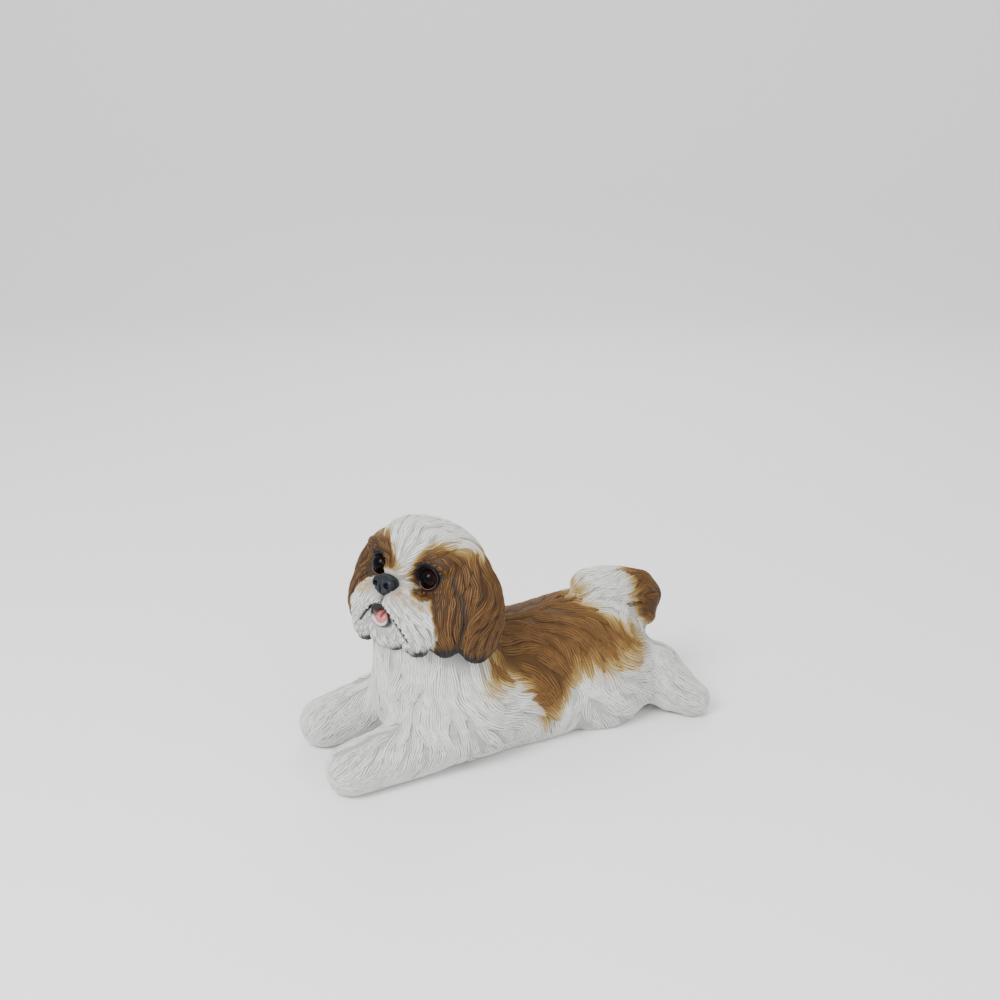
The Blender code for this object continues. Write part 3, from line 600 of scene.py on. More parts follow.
def body_paint(p, drag, streak, _facing):
    """Marks on body points: the marking is a smooth step of the depth inside a patch, measured where
    the lock's root drags it, and golden over the rump. The tail's rear rim is dark, and painted shade
    darkens the tail's fold and, a little, the paws."""
    mark = rise(saddle(drag) + 0.0050 * streak, -SADDLE_EDGE / 2, SADDLE_EDGE)[:, 0]
    mark = mark * (SADDLE_DEEP - 0.12 * rise(drag[:, 1], 0.070, 0.118)[:, 0])
    near = (rise(-tube(p, TAIL_PATH, TAIL_RADII), -0.010, -0.002) * rise(p[:, 2], 0.078, 0.092))[:, 0]
    band = drag[:, 1] - TAIL_BAND + 0.10 * (drag[:, 2] - 0.120) + 0.0035 * streak
    mark = mix(mark, 0.94 * rise(band, -0.008, 0.020)[:, 0], near * rise(p[:, 1], 0.110, 0.125)[:, 0])
    # Painted shade in the crease of the tail's fold.
    dark = 0.85 * rise(-tail_fold(p), -0.0030, 0.0010)[:, 0]
    rim = 0.55 * rise(p[:, 1] - 0.06 * p[:, 2], 0.168, 0.176)[:, 0] * near
    # Painted shade: the paws a little darker, the hind ones most.
    paw_shade = 0.14 * rise(p[:, 1], 0.125, 0.165)[:, 0] * (1 - near) + 0.05 * rise(-p[:, 1], 0.140, 0.185)[:, 0]
    # The dark mark: the tail's rear rim, with the painted shade of the fold and the paws.
    stain = np.maximum.reduce([dark, rim, paw_shade])
    # The bare skin shows only in the gaps between locks; its deep groove is wash and painted shade.
    return {"marking": mark, "stain": stain, "blush": 0 * mark, "groove": 0.8 + 0 * mark}


# The paint on the head: brown cheeks, brows and ears, white blaze, crown, muzzle and chin, blue-black
# airbrushed round the eyes, peach beside the nose and inside the mouth, and painted shade at the ears'
# roots, along the muzzle's edge, deep in the mouth and on the lower rim.
BLAZE_FOOT = 0.0042
BLAZE_SIDE = 0.0100
BLAZE_WIDE = 0.0030
BLAZE_FLARE = 0.70
BLAZE_LEAN = 0.22
CROWN_EDGE = 0.0328
NAPE_STRIPE = 0.019
SNOUT_EDGE = 3.0
WHITE_BRIDGE = ((0, -0.010, -0.010), (0.0145, 0.018, 0.014))
BLUSH_MIDDLE = (0.0165, -0.020, -0.019)
BLUSH_REACH = 0.0068
EYE_PATCH = ((0.037, -0.005), 0.0140)
EYE_HALO = (0.0108, 0.0031)
EAR_FURROW = 0.0022
MUZZLE_SHADE = (0.0058, 0.0016)
PHILTRUM_WIDTH = 0.0026
LIP_SHADE = 0.0007
HEAD_EDGE = 0.008


def brown_of(q, streak):
    """Depth inside the brown of the head, in its own frame: a leaning V of white up the forehead, a
    ragged edge at the crown, and a crisp one where the muzzle's tufts end, with brown below the eyes."""
    m = both_sides(q)
    x, y, z = m.T
    up = np.clip(z - BLAZE_FOOT, 0, 0.03)
    blaze = np.abs(q[:, 0] - BLAZE_SIDE + BLAZE_LEAN * up) - BLAZE_WIDE - BLAZE_FLARE * up
    nape = x - NAPE_STRIPE
    sides = mix(blaze, nape, rise(y, 0.025, 0.050)[:, 0])
    crown = 0.45 * (CROWN_EDGE + 0.0010 + 0.12 * np.clip(0.045 - x, 0, 0.01) - z)
    snout = muzzle(m) - 0.0006 - 0.0034 * rise(-z, 0.022, 0.040)[:, 0]
    snout = np.minimum.reduce([snout, chin(q) - 0.005, egg(q, *WHITE_BRIDGE)])
    below_eye = EYE_PATCH[1] - np.hypot(x - EYE_PATCH[0][0], z - EYE_PATCH[0][1])
    snout = SNOUT_EDGE * np.maximum(snout, below_eye)
    return np.minimum(np.minimum(sides + 0.0018 * streak, crown + 0.0016 * streak), snout + 0.0008 * streak)


def head_paint(p, drag, streak, facing):
    """Marks on head points, measured in the head's frame, with painted shade on the casting's lower edge,
    where it faces down.
    """
    q = head_frame(p)
    m = both_sides(q)
    x, y, z = m.T
    depth = brown_of(head_frame(drag), streak)
    mark = rise(depth, -HEAD_EDGE * 0.35, HEAD_EDGE)[:, 0]
    from_eye = np.hypot(x - EYE_SIDE, z - 0.0015)
    front = rise(-y, -0.030, -0.015)[:, 0]
    halo = 0.92 * dip(np.maximum(from_eye, EYE_HALO[0]), *EYE_HALO) * front
    # Painted shade in the crease where each ear meets the face.
    crease = np.abs(face(q) - ear(m))
    ear_crease_shade = 0.70 * dip(crease, 0, EAR_FURROW) * rise(-z, -0.020, 0.005)[:, 0]
    # Painted shade along the muzzle's edge, where its tufts overhang the brown cheek.
    edge = 0.55 * dip(muzzle(m), *MUZZLE_SHADE) * rise(x, 0.020, 0.034)[:, 0]
    below_nose = rise(-z, 0.018, 0.024)[:, 0] * rise(z, -0.037, -0.031)[:, 0]
    philtrum = 0.70 * dip(x, 0, PHILTRUM_WIDTH) * below_nose * front
    lip = dip(np.maximum(lips(q), 0), 0, LIP_SHADE)
    # Inside the mouth: pink paint, darkened most of the way to blue-black as painted shade in the recess.
    inside = rise(-egg(q, *MOUTH), -0.0008, 0.0003)[:, 0]
    from_nose = np.linalg.norm((m - BLUSH_MIDDLE) / (1, 1, 0.8), axis=1)
    blush = np.maximum(0.9 * dip(from_nose, 0, BLUSH_REACH), inside)
    # Painted shade on the casting's lower rim, where its surface faces down.
    low = rise(-z, 0.020, 0.035)[:, 0] * rise(y, -0.014, -0.004)[:, 0]
    underside_shade = 0.95 * rise(-facing, 0.25, 0.58)[:, 0] * low
    # The dark mark: airbrushed eye rings, philtrum and lip line, with the painted shade above.
    stain = np.maximum.reduce([halo, ear_crease_shade, edge, philtrum, lip, 0.82 * inside, underside_shade])
    # The bare skin shows mostly in the gaps between locks; its deep groove is wash and painted shade.
    return {"marking": mark, "stain": stain, "blush": blush, "groove": 0.85 + 0 * mark}


# The paint itself: flat acrylics over a cast surface. A base colour, a dark wash that stays in the
# grooves, a pale dry brush on the ridges and along the strands, and fine speckle from the cast.
WHITE = (0.640, 0.640, 0.620, 1)
WHITE_WASH = (0.095, 0.092, 0.080, 1)
CREAM = (0.430, 0.320, 0.130, 1)
GOLD = (0.230, 0.135, 0.035, 1)
TAN_BROWN = (0.120, 0.054, 0.013, 1)
CHESTNUT = (0.074, 0.032, 0.008, 1)
CREAM_WASH = (0.085, 0.043, 0.008, 1)
UMBER = (0.013, 0.006, 0.001, 1)
BRUSHED = (0.215, 0.108, 0.032, 1)
# Blue-black of the eye rings and lip lines, also the colour of all the painted shade.
DARK_PAINT_AND_SHADE = (0.004, 0.005, 0.007, 1)
PEACH = (0.800, 0.480, 0.330, 1)
MARKS = ("Marking", "Groove", "Stain", "Blush", "Strand", "Along")
STREAKS = 1300
STREAK_RUN = 70
COAT_GLOSS = 0.22
GRAIN_DEPTH = 0.00025


def node(tree, kind, **values):
    """New node with its settings or its input values given by name."""
    made = tree.nodes.new(kind)
    for word, value in values.items():
        if word in made.inputs:
            made.inputs[word].default_value = value
        else:
            setattr(made, word, value)
    return made


def feed(tree, socket, value):
    """Link a socket or set a plain value on an input."""
    if isinstance(value, bpy.types.NodeSocket):
        tree.links.new(value, socket)
    else:
        socket.default_value = value


def blend_colours(tree, factor, a, b, how="MIX"):
    made = node(tree, "ShaderNodeMix", data_type="RGBA", blend_type=how)
    for socket, value in zip((made.inputs[0], made.inputs[6], made.inputs[7]), (factor, a, b)):
        feed(tree, socket, value)
    return made.outputs[2]


def maths(tree, operation, *values, clamp=False):
    made = node(tree, "ShaderNodeMath", operation=operation, use_clamp=clamp)
    for socket, value in zip(made.inputs, values):
        feed(tree, socket, value)
    return made.outputs[0]


def ramp(tree, factor, *stops):
    """Colour ramp through stops of place and colour."""
    made = node(tree, "ShaderNodeValToRGB")
    feed(tree, made.inputs["Fac"], factor)
    elements = made.color_ramp.elements
    elements.remove(elements[1])
    elements[0].position, elements[0].color = stops[0]
    for place, colour in stops[1:]:
        elements.new(place).color = colour
    return made.outputs["Color"]


def paint_group():
    """Group that turns the marks on a casting into colour, roughness and height: colours along the
    marking, washed by the groove (deepest, as painted shade, at the locks' edges and roots), dry-brushed
    on the ridge, then stained with dark paint and painted shade, and blushed."""
    tree = bpy.data.node_groups.new("hand paint", "ShaderNodeTree")
    for word in MARKS:
        tree.interface.new_socket(word, in_out="INPUT", socket_type="NodeSocketFloat")
    tree.interface.new_socket("Place", in_out="INPUT", socket_type="NodeSocketVector")
    tree.interface.new_socket("Color", in_out="OUTPUT", socket_type="NodeSocketColor")
    tree.interface.new_socket("Roughness", in_out="OUTPUT", socket_type="NodeSocketFloat")
    tree.interface.new_socket("Height", in_out="OUTPUT", socket_type="NodeSocketFloat")
    given = node(tree, "NodeGroupInput").outputs
    blotch = node(tree, "ShaderNodeTexNoise", Scale=55.0, Detail=3.0)
    speck = node(tree, "ShaderNodeTexNoise", Scale=900.0, Detail=2.0)
    for texture in (blotch, speck):
        tree.links.new(given["Place"], texture.inputs["Vector"])
    hair = node(tree, "ShaderNodeCombineXYZ")
    feed(tree, hair.inputs[0], maths(tree, "MULTIPLY", given["Strand"], STREAKS))
    feed(tree, hair.inputs[1], maths(tree, "MULTIPLY", given["Along"], STREAK_RUN))
    streak = node(tree, "ShaderNodeTexNoise", Scale=1.0, Detail=1.0)
    tree.links.new(hair.outputs[0], streak.inputs["Vector"])
    uneven = maths(tree, "MULTIPLY_ADD", blotch.outputs["Fac"], 0.40, -0.20)
    uneven = maths(tree, "ADD", uneven, maths(tree, "MULTIPLY_ADD", streak.outputs["Fac"], 0.60, -0.30))
    level = maths(tree, "MULTIPLY_ADD", uneven, given["Marking"], given["Marking"], clamp=True)
    base = ramp(tree, level, (0, WHITE), (0.28, CREAM), (0.52, GOLD), (0.76, TAN_BROWN), (1, CHESTNUT))
    wash = ramp(tree, level, (0, WHITE_WASH), (0.30, CREAM_WASH), (1, UMBER))
    deep = maths(tree, "MULTIPLY_ADD", streak.outputs["Fac"], 0.7, -0.35)
    deep = maths(tree, "ADD", given["Groove"], deep, clamp=True)
    deep = maths(tree, "MULTIPLY", maths(tree, "POWER", deep, 2.2), 0.85)
    colour = blend_colours(tree, deep, base, wash)
    ridge = maths(tree, "SUBTRACT", 0.42, maths(tree, "SUBTRACT", given["Groove"], maths(
        tree, "MULTIPLY_ADD", streak.outputs["Fac"], 0.5, -0.25)), clamp=True)
    ridge = maths(tree, "MULTIPLY", maths(tree, "MULTIPLY", ridge, level), 1.5, clamp=True)
    colour = blend_colours(tree, ridge, colour, BRUSHED)
    colour = blend_colours(tree, given["Blush"], colour, PEACH, "MULTIPLY")
    # Dark paint round the eyes, on the lip lines and the tail's rear rim, and painted shade in creases, in
    # the mouth, below the head and on the paws.
    colour = blend_colours(tree, given["Stain"], colour, DARK_PAINT_AND_SHADE)
    tone = node(tree, "ShaderNodeCombineColor")
    for channel in tone.inputs:
        feed(tree, channel, maths(tree, "MULTIPLY_ADD", speck.outputs["Fac"], 0.20, 0.90))
    result = node(tree, "NodeGroupOutput")
    feed(tree, result.inputs["Color"], blend_colours(tree, 1.0, colour, tone.outputs[0], "MULTIPLY"))
    feed(tree, result.inputs["Roughness"], maths(tree, "MULTIPLY_ADD", speck.outputs["Fac"], 0.22, 0.46))
    feed(tree, result.inputs["Height"], maths(
        tree, "MULTIPLY_ADD", speck.outputs["Fac"], 0.35, streak.outputs["Fac"]))
    return tree


HAND_PAINT = paint_group()


def new_paint(name, gloss):
    """New material on a plain shader of the given gloss, with its tree and shader."""
    material = bpy.data.materials.new(name)
    material.use_nodes = True
    shader = material.node_tree.nodes["Principled BSDF"]
    shader.inputs["Specular IOR Level"].default_value = gloss
    return material, material.node_tree, shader


def coat_paint(name):
    """Painted resin: the hand paint's colour, roughness and fine grain."""
    material, tree, shader = new_paint(name, COAT_GLOSS)
    paint = node(tree, "ShaderNodeGroup", node_tree=HAND_PAINT)
    for word in MARKS:
        mark = node(tree, "ShaderNodeAttribute", attribute_name=word.lower())
        tree.links.new(mark.outputs["Fac"], paint.inputs[word])
    tree.links.new(node(tree, "ShaderNodeTexCoord").outputs["Object"], paint.inputs["Place"])
    grain = node(tree, "ShaderNodeBump", Distance=GRAIN_DEPTH)
    tree.links.new(paint.outputs["Height"], grain.inputs["Height"])
    tree.links.new(grain.outputs["Normal"], shader.inputs["Normal"])
    tree.links.new(paint.outputs["Color"], shader.inputs["Base Color"])
    tree.links.new(paint.outputs["Roughness"], shader.inputs["Roughness"])
    return material


def finish_piece(piece, material, slot, *nodes):
    """Give a piece its material and its place on the statue. The slot is not used."""
    piece.data.materials.append(material)
    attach(piece, "root")
    if nodes:
        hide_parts(*nodes)


def skin(name, points, quads, field, paint_of):
    """The casting's bare surface, painted as the coat is, and its normals."""
    normals = slope(field, points)
    marks = paint_of(points, points, np.zeros(len(points)), normals[:, 2])
    piece = build(name, points, [quads], marks)
    return piece, normals


COAT = coat_paint("painted coat")
body_skin, body_normals = skin("body_skin", body_points, body_quads, body, body_paint)
finish_piece(body_skin, COAT, "coat_torso", "torso", "neck", "tail",
             "foreleg_left", "foreleg_right", "hindleg_left", "hindleg_right")
head_skin, head_normals = skin("head_skin", head_points, head_quads, head, head_paint)
finish_piece(head_skin, COAT, "coat_head", "head", "muzzle", "ear_left", "ear_right")


# The body's locks, largest on the back and rump and smaller down the legs to the paws. None lies under
# the head or on the flats that the statue rests on.
BODY_LOCK = 0.040
BODY_WIDTH = 0.0125
BODY_RISE = 0.0015
BODY_SPACING = 0.0094
BODY_SIDES = 23
REST_CLEAR = 0.0025
BELLY_FACING = -0.88
UNDER_HEAD = -0.012
FOLD_CLEAR = 0.003


def body_scale(p):
    """Size of the locks by place: smaller on the legs and tail, smallest on the paws."""
    y, z = p[:, 1], p[:, 2]
    legs = np.minimum.reduce([np.abs(f) for f in limbs(p)])
    on_leg = rise(-legs, -0.006, -0.001)[:, 0] * rise(-z, -0.075, -0.050)[:, 0]
    paws = np.maximum(rise(-y, 0.135, 0.180), rise(y, 0.150, 0.190) * rise(-z, -0.06, -0.04))[:, 0]
    return (1 - 0.20 * on_leg) * (1 - 0.28 * paws) * (1 - 0.15 * on_tail(p)[:, 0])


def body_unwrap(p):
    """Round the spine by angle, and along it by length."""
    angle = np.arctan2(p[:, 0], p[:, 2] - 0.055) / (2 * np.pi) + 0.5
    return np.stack([angle * 0.62 + 0.01, (p[:, 1] + 0.24) * 2.1 + 0.01], 1)


def halves(name, here, across):
    """A region split in two by the sign of a value, named left and right."""
    return {name + "_left": here & (across > 0), name + "_right": here & (across <= 0)}


bare = (body_points[:, 2] < REST_CLEAR) | (body_normals[:, 2] < BELLY_FACING)
bare |= (head(body_points) < UNDER_HEAD) | (tail_fold(body_points) < FOLD_CLEAR)
grown = body_points[~bare]
roots = scatter(grown, BODY_SPACING * body_scale(grown), 11)
body_roots = grown[roots]
body_scales = body_scale(body_roots)

x, y, z = body_roots.T
regions = {"coat_tail": on_tail(body_roots)[:, 0] > 0.5}
for word, leg in zip(("foreleg_left", "foreleg_right", "hindleg_left", "hindleg_right"), limbs(body_roots)):
    regions["coat_" + word] = (leg < 0.003) & (z < 0.075) & ~regions["coat_tail"]
free = ~np.any(list(regions.values()), axis=0)
regions |= halves("coat_chest", free & (y < -0.055), x)
regions |= halves("coat_loin", free & (y >= -0.055) & (y < 0.045), x)
regions |= halves("coat_rump", free & (y >= 0.045), x)

for seed, (name, here) in enumerate(regions.items()):
    places, sizes = body_roots[here], body_scales[here]
    lengths = BODY_LOCK * sizes * np.random.default_rng(100 + seed).uniform(0.75, 1.25, len(places))
    piece = coat(name, body, body_comb, places, lengths, BODY_WIDTH * sizes, BODY_RISE * sizes, BODY_SIDES,
                 body_unwrap, body_paint, 200 + seed)
    slots = {"tail": "coat_tail", "chest": "coat_neck", "foreleg": "coat_leg", "hindleg": "coat_leg"}
    finish_piece(piece, COAT, slots.get(name.split("_")[1], "coat_torso"))


# The head's locks: fine on the face and round the eyes, in rough tufts on the muzzle, longer on crown,
# cheeks and ears.
HEAD_LOCK = 0.030
HEAD_WIDTH = 0.0090
HEAD_RISE = 0.0013
MUZZLE_RISE = 0.0017
HEAD_SPACING = 0.0078
HEAD_SIDES = 17
NECK_CLEAR = 0.0010
CHIN_FACING = -0.62
NOSE = ((0, -0.0200, -0.0130), (0.0127, 0.0098, 0.0102))
LIP_RING = ((0, -0.0215, -0.0412), (0.0104, 0.0091))


def head_scale(q):
    """Size of the locks by place: small near the eyes, nose and mouth."""
    m = both_sides(q)
    from_eye = np.linalg.norm(m - (EYE_SIDE, -0.003, 0), axis=1)
    from_nose = np.linalg.norm(m - NOSE_MIDDLE, axis=1)
    near = np.minimum.reduce([(from_eye - 0.010) / 0.024, (from_nose - 0.012) / 0.034, lips(q) / 0.020])
    return 0.42 + 0.58 * np.clip(near, 0, 1)


def way_to_face(q):
    """Distance from head places to the nearest eye, lip line or mouth."""
    m = both_sides(q)
    eye = np.linalg.norm(m - (EYE_SIDE, -0.002, 0), axis=1) - 0.0125
    return np.maximum(np.minimum.reduce([eye, lips(q), egg(q, *MOUTH) - 0.002]), 0)


def head_unwrap(p):
    """Round the head's upright axis by angle, and up it by height."""
    q = head_frame(p)
    angle = np.arctan2(q[:, 0], 0.03 - q[:, 1]) / (2 * np.pi) + 0.5
    return np.stack([angle * 0.32 + 0.66, (q[:, 2] + 0.09) * 6 + 0.01], 1)


def clear_of_face(q):
    """True for head places that no lock may grow from: eyes, nose, mouth and lips."""
    m = both_sides(q)
    eye = np.linalg.norm((m - (EYE_SIDE, -0.002, 0)) / (1, 1, 0.95), axis=1) < 0.0135
    snout = egg(q, NOSE[0], NOSE[1]) < 0.0016
    mouth = egg(q, LIP_RING[0], (LIP_RING[1][0], 0.012, LIP_RING[1][1])) < 0.0030
    return eye | snout | mouth | (lips(q) < 0.0010)


bare = (body(head_points) < NECK_CLEAR) | (head_normals[:, 2] < CHIN_FACING)
bare |= clear_of_face(head_frame(head_points))
grown = head_points[~bare]
roots = scatter(grown, HEAD_SPACING * head_scale(head_frame(grown)), 12)
head_roots = grown[roots]
q = head_frame(head_roots)
m = both_sides(q)
head_scales = head_scale(q)
on_ear = ear(m) < face(q)
on_muzzle = ~on_ear & (np.minimum(muzzle(m), chin(q)) < 0.002)
regions = halves("coat_ear", on_ear, q[:, 0]) | halves("coat_muzzle", on_muzzle, q[:, 0])
regions |= halves("coat_crown", ~on_ear & ~on_muzzle & (q[:, 1] > 0.02), q[:, 0])
regions |= halves("coat_face", ~on_ear & ~on_muzzle & (q[:, 1] <= 0.02), q[:, 0])
for seed, (name, here) in enumerate(regions.items()):
    places, sizes = head_roots[here], head_scales[here]
    rough = "muzzle" in name
    lengths = HEAD_LOCK * (0.75 if rough else 1) * sizes
    lengths = lengths * np.random.default_rng(300 + seed).uniform(0.75, 1.25, len(places))
    lengths = np.minimum(lengths, 0.0022 + 1.1 * way_to_face(q[here]))
    heights = (MUZZLE_RISE if rough else HEAD_RISE) * sizes
    piece = coat(name, head, head_comb, places, lengths, HEAD_WIDTH * sizes, heights,
                 HEAD_SIDES, head_unwrap, head_paint, 400 + seed)
    slots = {"ear": "coat_ear", "muzzle": "coat_muzzle"}
    finish_piece(piece, COAT, slots.get(name.split("_")[1], "coat_head"))


# Eyes: two glass-look balls of very dark brown resin, black in the middle and polished, set into the
# sockets so that only their fronts show.
EYE_GLOSS = 0.06
EYE_BLACK = (0.002, 0.002, 0.003, 1)
EYE_RINGS = ((0.50, EYE_BLACK), (0.62, (0.005, 0.002, 0.001, 1)), (0.82, (0.009, 0.003, 0.001, 1)),
             (0.93, (0.003, 0.002, 0.002, 1)), (1, (0.004, 0.002, 0.002, 1)))


def sphere(u, v):
    """Unit ball facing -Y: u turns round the view axis, v runs from the front point to the back."""
    return np.stack([np.sin(v) * np.cos(u), -np.cos(v), np.sin(v) * np.sin(u)], -1)


def revolved(name, surface, around, down):
    """Closed object of a surface given by (u, v), with single points at both ends of v."""
    u = np.linspace(0, 2 * np.pi, around, endpoint=False)
    v = np.linspace(0, np.pi, down + 2)
    rings = surface(*np.meshgrid(u, v[1:-1])).reshape(-1, 3)
    ends = surface(np.zeros(2), v[[0, -1]])
    points = np.concatenate([ends[:1], rings, ends[1:]])
    ring = 1 + np.arange(down)[:, None] * around + np.arange(around)
    after = np.roll(ring, -1, 1)
    quads = np.stack([ring[:-1], ring[1:], after[1:], after[:-1]], -1).reshape(-1, 4)
    front = np.stack([np.zeros(around, int), ring[0], after[0]], -1)
    back = np.stack([np.full(around, len(points) - 1), after[-1], ring[-1]], -1)
    return build(name, points, [quads, np.concatenate([front, back])])


def eye_glass(name, centre):
    """Glossy dark glass: rings of colour by distance from the front of the ball."""
    material, tree, shader = new_paint(name, EYE_GLOSS)
    front = from_head(np.array(centre) - (0, EYE_RADIUS, 0)) + SHIFT
    place = node(tree, "ShaderNodeTexCoord")
    away = node(tree, "ShaderNodeVectorMath", operation="DISTANCE")
    away.inputs[1].default_value = front
    tree.links.new(place.outputs["Object"], away.inputs[0])
    rings = ramp(tree, maths(tree, "MULTIPLY", away.outputs["Value"], 1 / EYE_RADIUS),
                 (0, EYE_BLACK), *EYE_RINGS)
    tree.links.new(rings, shader.inputs["Base Color"])
    cloud = node(tree, "ShaderNodeTexNoise", Scale=300.0)
    tree.links.new(place.outputs["Object"], cloud.inputs["Vector"])
    tree.links.new(maths(tree, "MULTIPLY", cloud.outputs["Fac"], 0.06), shader.inputs["Roughness"])
    return material


for side, word in ((1, "left"), (-1, "right")):
    middle = (side * EYE_SIDE, EYE_DEPTH, 0)
    eye = revolved("eyeball_" + word, lambda u, v: from_head(EYE_RADIUS * sphere(u, v) + middle), 48, 30)
    finish_piece(eye, eye_glass("eye glass " + word, middle), "eye_glass", "eye_" + word)


# Lids: a rolled clay rim round each eye, pressed on before casting. It is thick and dark above, thin
# and pinkish below.
LID_REACH = (0.0107, 0.0101)
LID_THICK = (0.0005, 0.0010)
RIM_GLOSS = 0.25


def torus(name, path, radii, sides, marks=None):
    """Closed ring: a circle of each radius carried round a closed path, in the path's own frames. The
    mark outer runs from 1 on its outer side to 0 on its inner one."""
    ahead = np.roll(path, -1, 0) - np.roll(path, 1, 0)
    ahead /= np.linalg.norm(ahead, axis=1)[:, None]
    out = path - path.mean(0)
    out -= (out * ahead).sum(1)[:, None] * ahead
    out /= np.linalg.norm(out, axis=1)[:, None]
    up = np.cross(ahead, out)
    t = np.linspace(0, 2 * np.pi, sides, endpoint=False)
    points = path[:, None] + radii[:, None, None] * (
        np.cos(t)[:, None] * out[:, None] + np.sin(t)[:, None] * up[:, None])
    ring = np.arange(len(path))[:, None] * sides + np.arange(sides)
    after = np.roll(ring, -1, 0)
    quads = np.stack([ring, np.roll(ring, -1, 1), np.roll(after, -1, 1), after], -1).reshape(-1, 4)
    values = {word: np.repeat(value, sides) for word, value in (marks or {}).items()}
    values["outer"] = np.tile(0.5 + 0.5 * np.cos(t), len(path))
    return build(name, from_head(points.reshape(-1, 3)), [quads[:, ::-1]], values)


def rim_paint(name, upper, lower, outer):
    """Satin paint of a rim: one colour above and one below, which turns to a third on its outer side."""
    material, tree, shader = new_paint(name, RIM_GLOSS)
    below = node(tree, "ShaderNodeAttribute", attribute_name="below").outputs["Fac"]
    beyond = node(tree, "ShaderNodeAttribute", attribute_name="outer").outputs["Fac"]
    noise = node(tree, "ShaderNodeTexNoise", Scale=700.0, Detail=2.0)
    tree.links.new(node(tree, "ShaderNodeTexCoord").outputs["Object"], noise.inputs["Vector"])
    ragged = maths(tree, "ADD", noise.outputs["Fac"], 0.45)
    rim = ramp(tree, maths(tree, "MULTIPLY", beyond, ragged), (0.40, lower), (0.62, outer))
    colour = blend_colours(tree, maths(tree, "MULTIPLY", below, ragged, clamp=True), upper, rim)
    tree.links.new(colour, shader.inputs["Base Color"])
    tree.links.new(maths(tree, "MULTIPLY_ADD", noise.outputs["Fac"], 0.4, 0.25), shader.inputs["Roughness"])
    return material


LID_PAINT = rim_paint("lid paint", (0.003, 0.003, 0.005, 1), (0.200, 0.085, 0.065, 1),
                      (0.020, 0.014, 0.012, 1))
turns = np.linspace(0, 2 * np.pi, 64, endpoint=False)
below = rise(-np.sin(turns), 0.15, 0.60)[:, 0]
for side, word in ((1, "left"), (-1, "right")):
    x = LID_REACH[0] * np.cos(turns)
    z = LID_REACH[1] * np.sin(turns)
    y = EYE_DEPTH - np.sqrt(EYE_RADIUS ** 2 * 1.06 - x ** 2 - z ** 2 * 0.9)
    rim = np.stack([side * (x + EYE_SIDE), y, z], 1)
    lid = torus("lid_" + word, rim, mix(LID_THICK[1], LID_THICK[0], below), 10, {"below": below})
    finish_piece(lid, LID_PAINT, "coat_head")


# Nose: a rounded pad with two nostrils and a cleft, modelled with the head and painted slate black
# over a pebbled surface.
NOSE_WING = ((0.0078, -0.0240, -0.0115), (0.0050, 0.0048, 0.0058))
NOSTRIL = ((0.0066, -0.0285, -0.0130), (0.0030, 0.0050, 0.0026))
NOSTRIL_SLIT = ((0.0076, -0.0280, -0.0150), (0.0122, -0.0225, -0.0185))
NOSTRIL_SLIT_RADII = (0.0013, 0.0008)
NOSE_CLEFT = ((0, -0.0300, -0.0190), (0.0009, 0.0050, 0.0065))
SMALL_REACH = 0.018
SMALL_CELL = 0.0005


def nose(p):
    """The pad with a wing blended on at each side, and nostrils, slits and cleft taken out."""
    q = head_frame(p)
    m = both_sides(q)
    f = blend(egg(q, *NOSE), egg(m, *NOSE_WING), 0.003)
    f = carve(f, egg(m, *NOSTRIL), 0.0015)
    f = carve(f, tube(m, NOSTRIL_SLIT, NOSTRIL_SLIT_RADII), 0.0012)
    return carve(f, egg(q, *NOSE_CLEFT), 0.0015)


def satin(name, colour, dark, roughness, scale, bump, gloss):
    """Satin paint over a pebbled surface: cells set the grain, and noise the light and dark."""
    material, tree, shader = new_paint(name, gloss)
    place = node(tree, "ShaderNodeTexCoord").outputs["Object"]
    cells = node(tree, "ShaderNodeTexVoronoi", Scale=scale)
    noise = node(tree, "ShaderNodeTexNoise", Scale=scale / 3, Detail=3.0)
    for texture in (cells, noise):
        tree.links.new(place, texture.inputs["Vector"])
    tree.links.new(blend_colours(tree, noise.outputs["Fac"], dark, colour), shader.inputs["Base Color"])
    rough = maths(tree, "MULTIPLY_ADD", noise.outputs["Fac"], 0.3, roughness - 0.15)
    tree.links.new(rough, shader.inputs["Roughness"])
    grain = node(tree, "ShaderNodeBump", Distance=bump)
    tree.links.new(cells.outputs["Distance"], grain.inputs["Height"])
    tree.links.new(grain.outputs["Normal"], shader.inputs["Normal"])
    return material


def small_net(field, middle):
    """Fine net of a small form round a place in the head's frame."""
    return net(field, from_head(middle) - SMALL_REACH, from_head(middle) + SMALL_REACH, SMALL_CELL)


points, quads = small_net(nose, NOSE[0])
nose_pad = build("nose_pad", points, [quads])
nose_paint = satin("nose paint", (0.006, 0.010, 0.016, 1), (0.002, 0.003, 0.005, 1),
                   0.40, 1100, 0.0002, 0.30)
finish_piece(nose_pad, nose_paint, "nose_paint", "nose")


# Mouth: a pink tongue with a furrow along it, behind a pale rolled lower lip that is rimmed in grey.
# Both are modelled with the head and painted last.
TONGUE = ((-0.0007, -0.0124, -0.0446), (0.0098, 0.0092, 0.0079))
TONGUE_FURROW = ((0, -0.0225, -0.0395), (0.0012, 0.0100, 0.0045))
LIP_BACK = 0.0035
LIP_THICK = (0.0009, 0.0025)


def tongue(p):
    q = head_frame(p)
    return carve(egg(q, *TONGUE), egg(q, *TONGUE_FURROW), 0.003)


points, quads = small_net(tongue, TONGUE[0])
tongue_piece = build("tongue_blade", points, [quads])
tongue_paint = satin("tongue paint", (0.520, 0.160, 0.165, 1), (0.300, 0.070, 0.080, 1),
                     0.35, 900, 0.0001, 0.5)
finish_piece(tongue_piece, tongue_paint, "tongue_paint", "tongue")

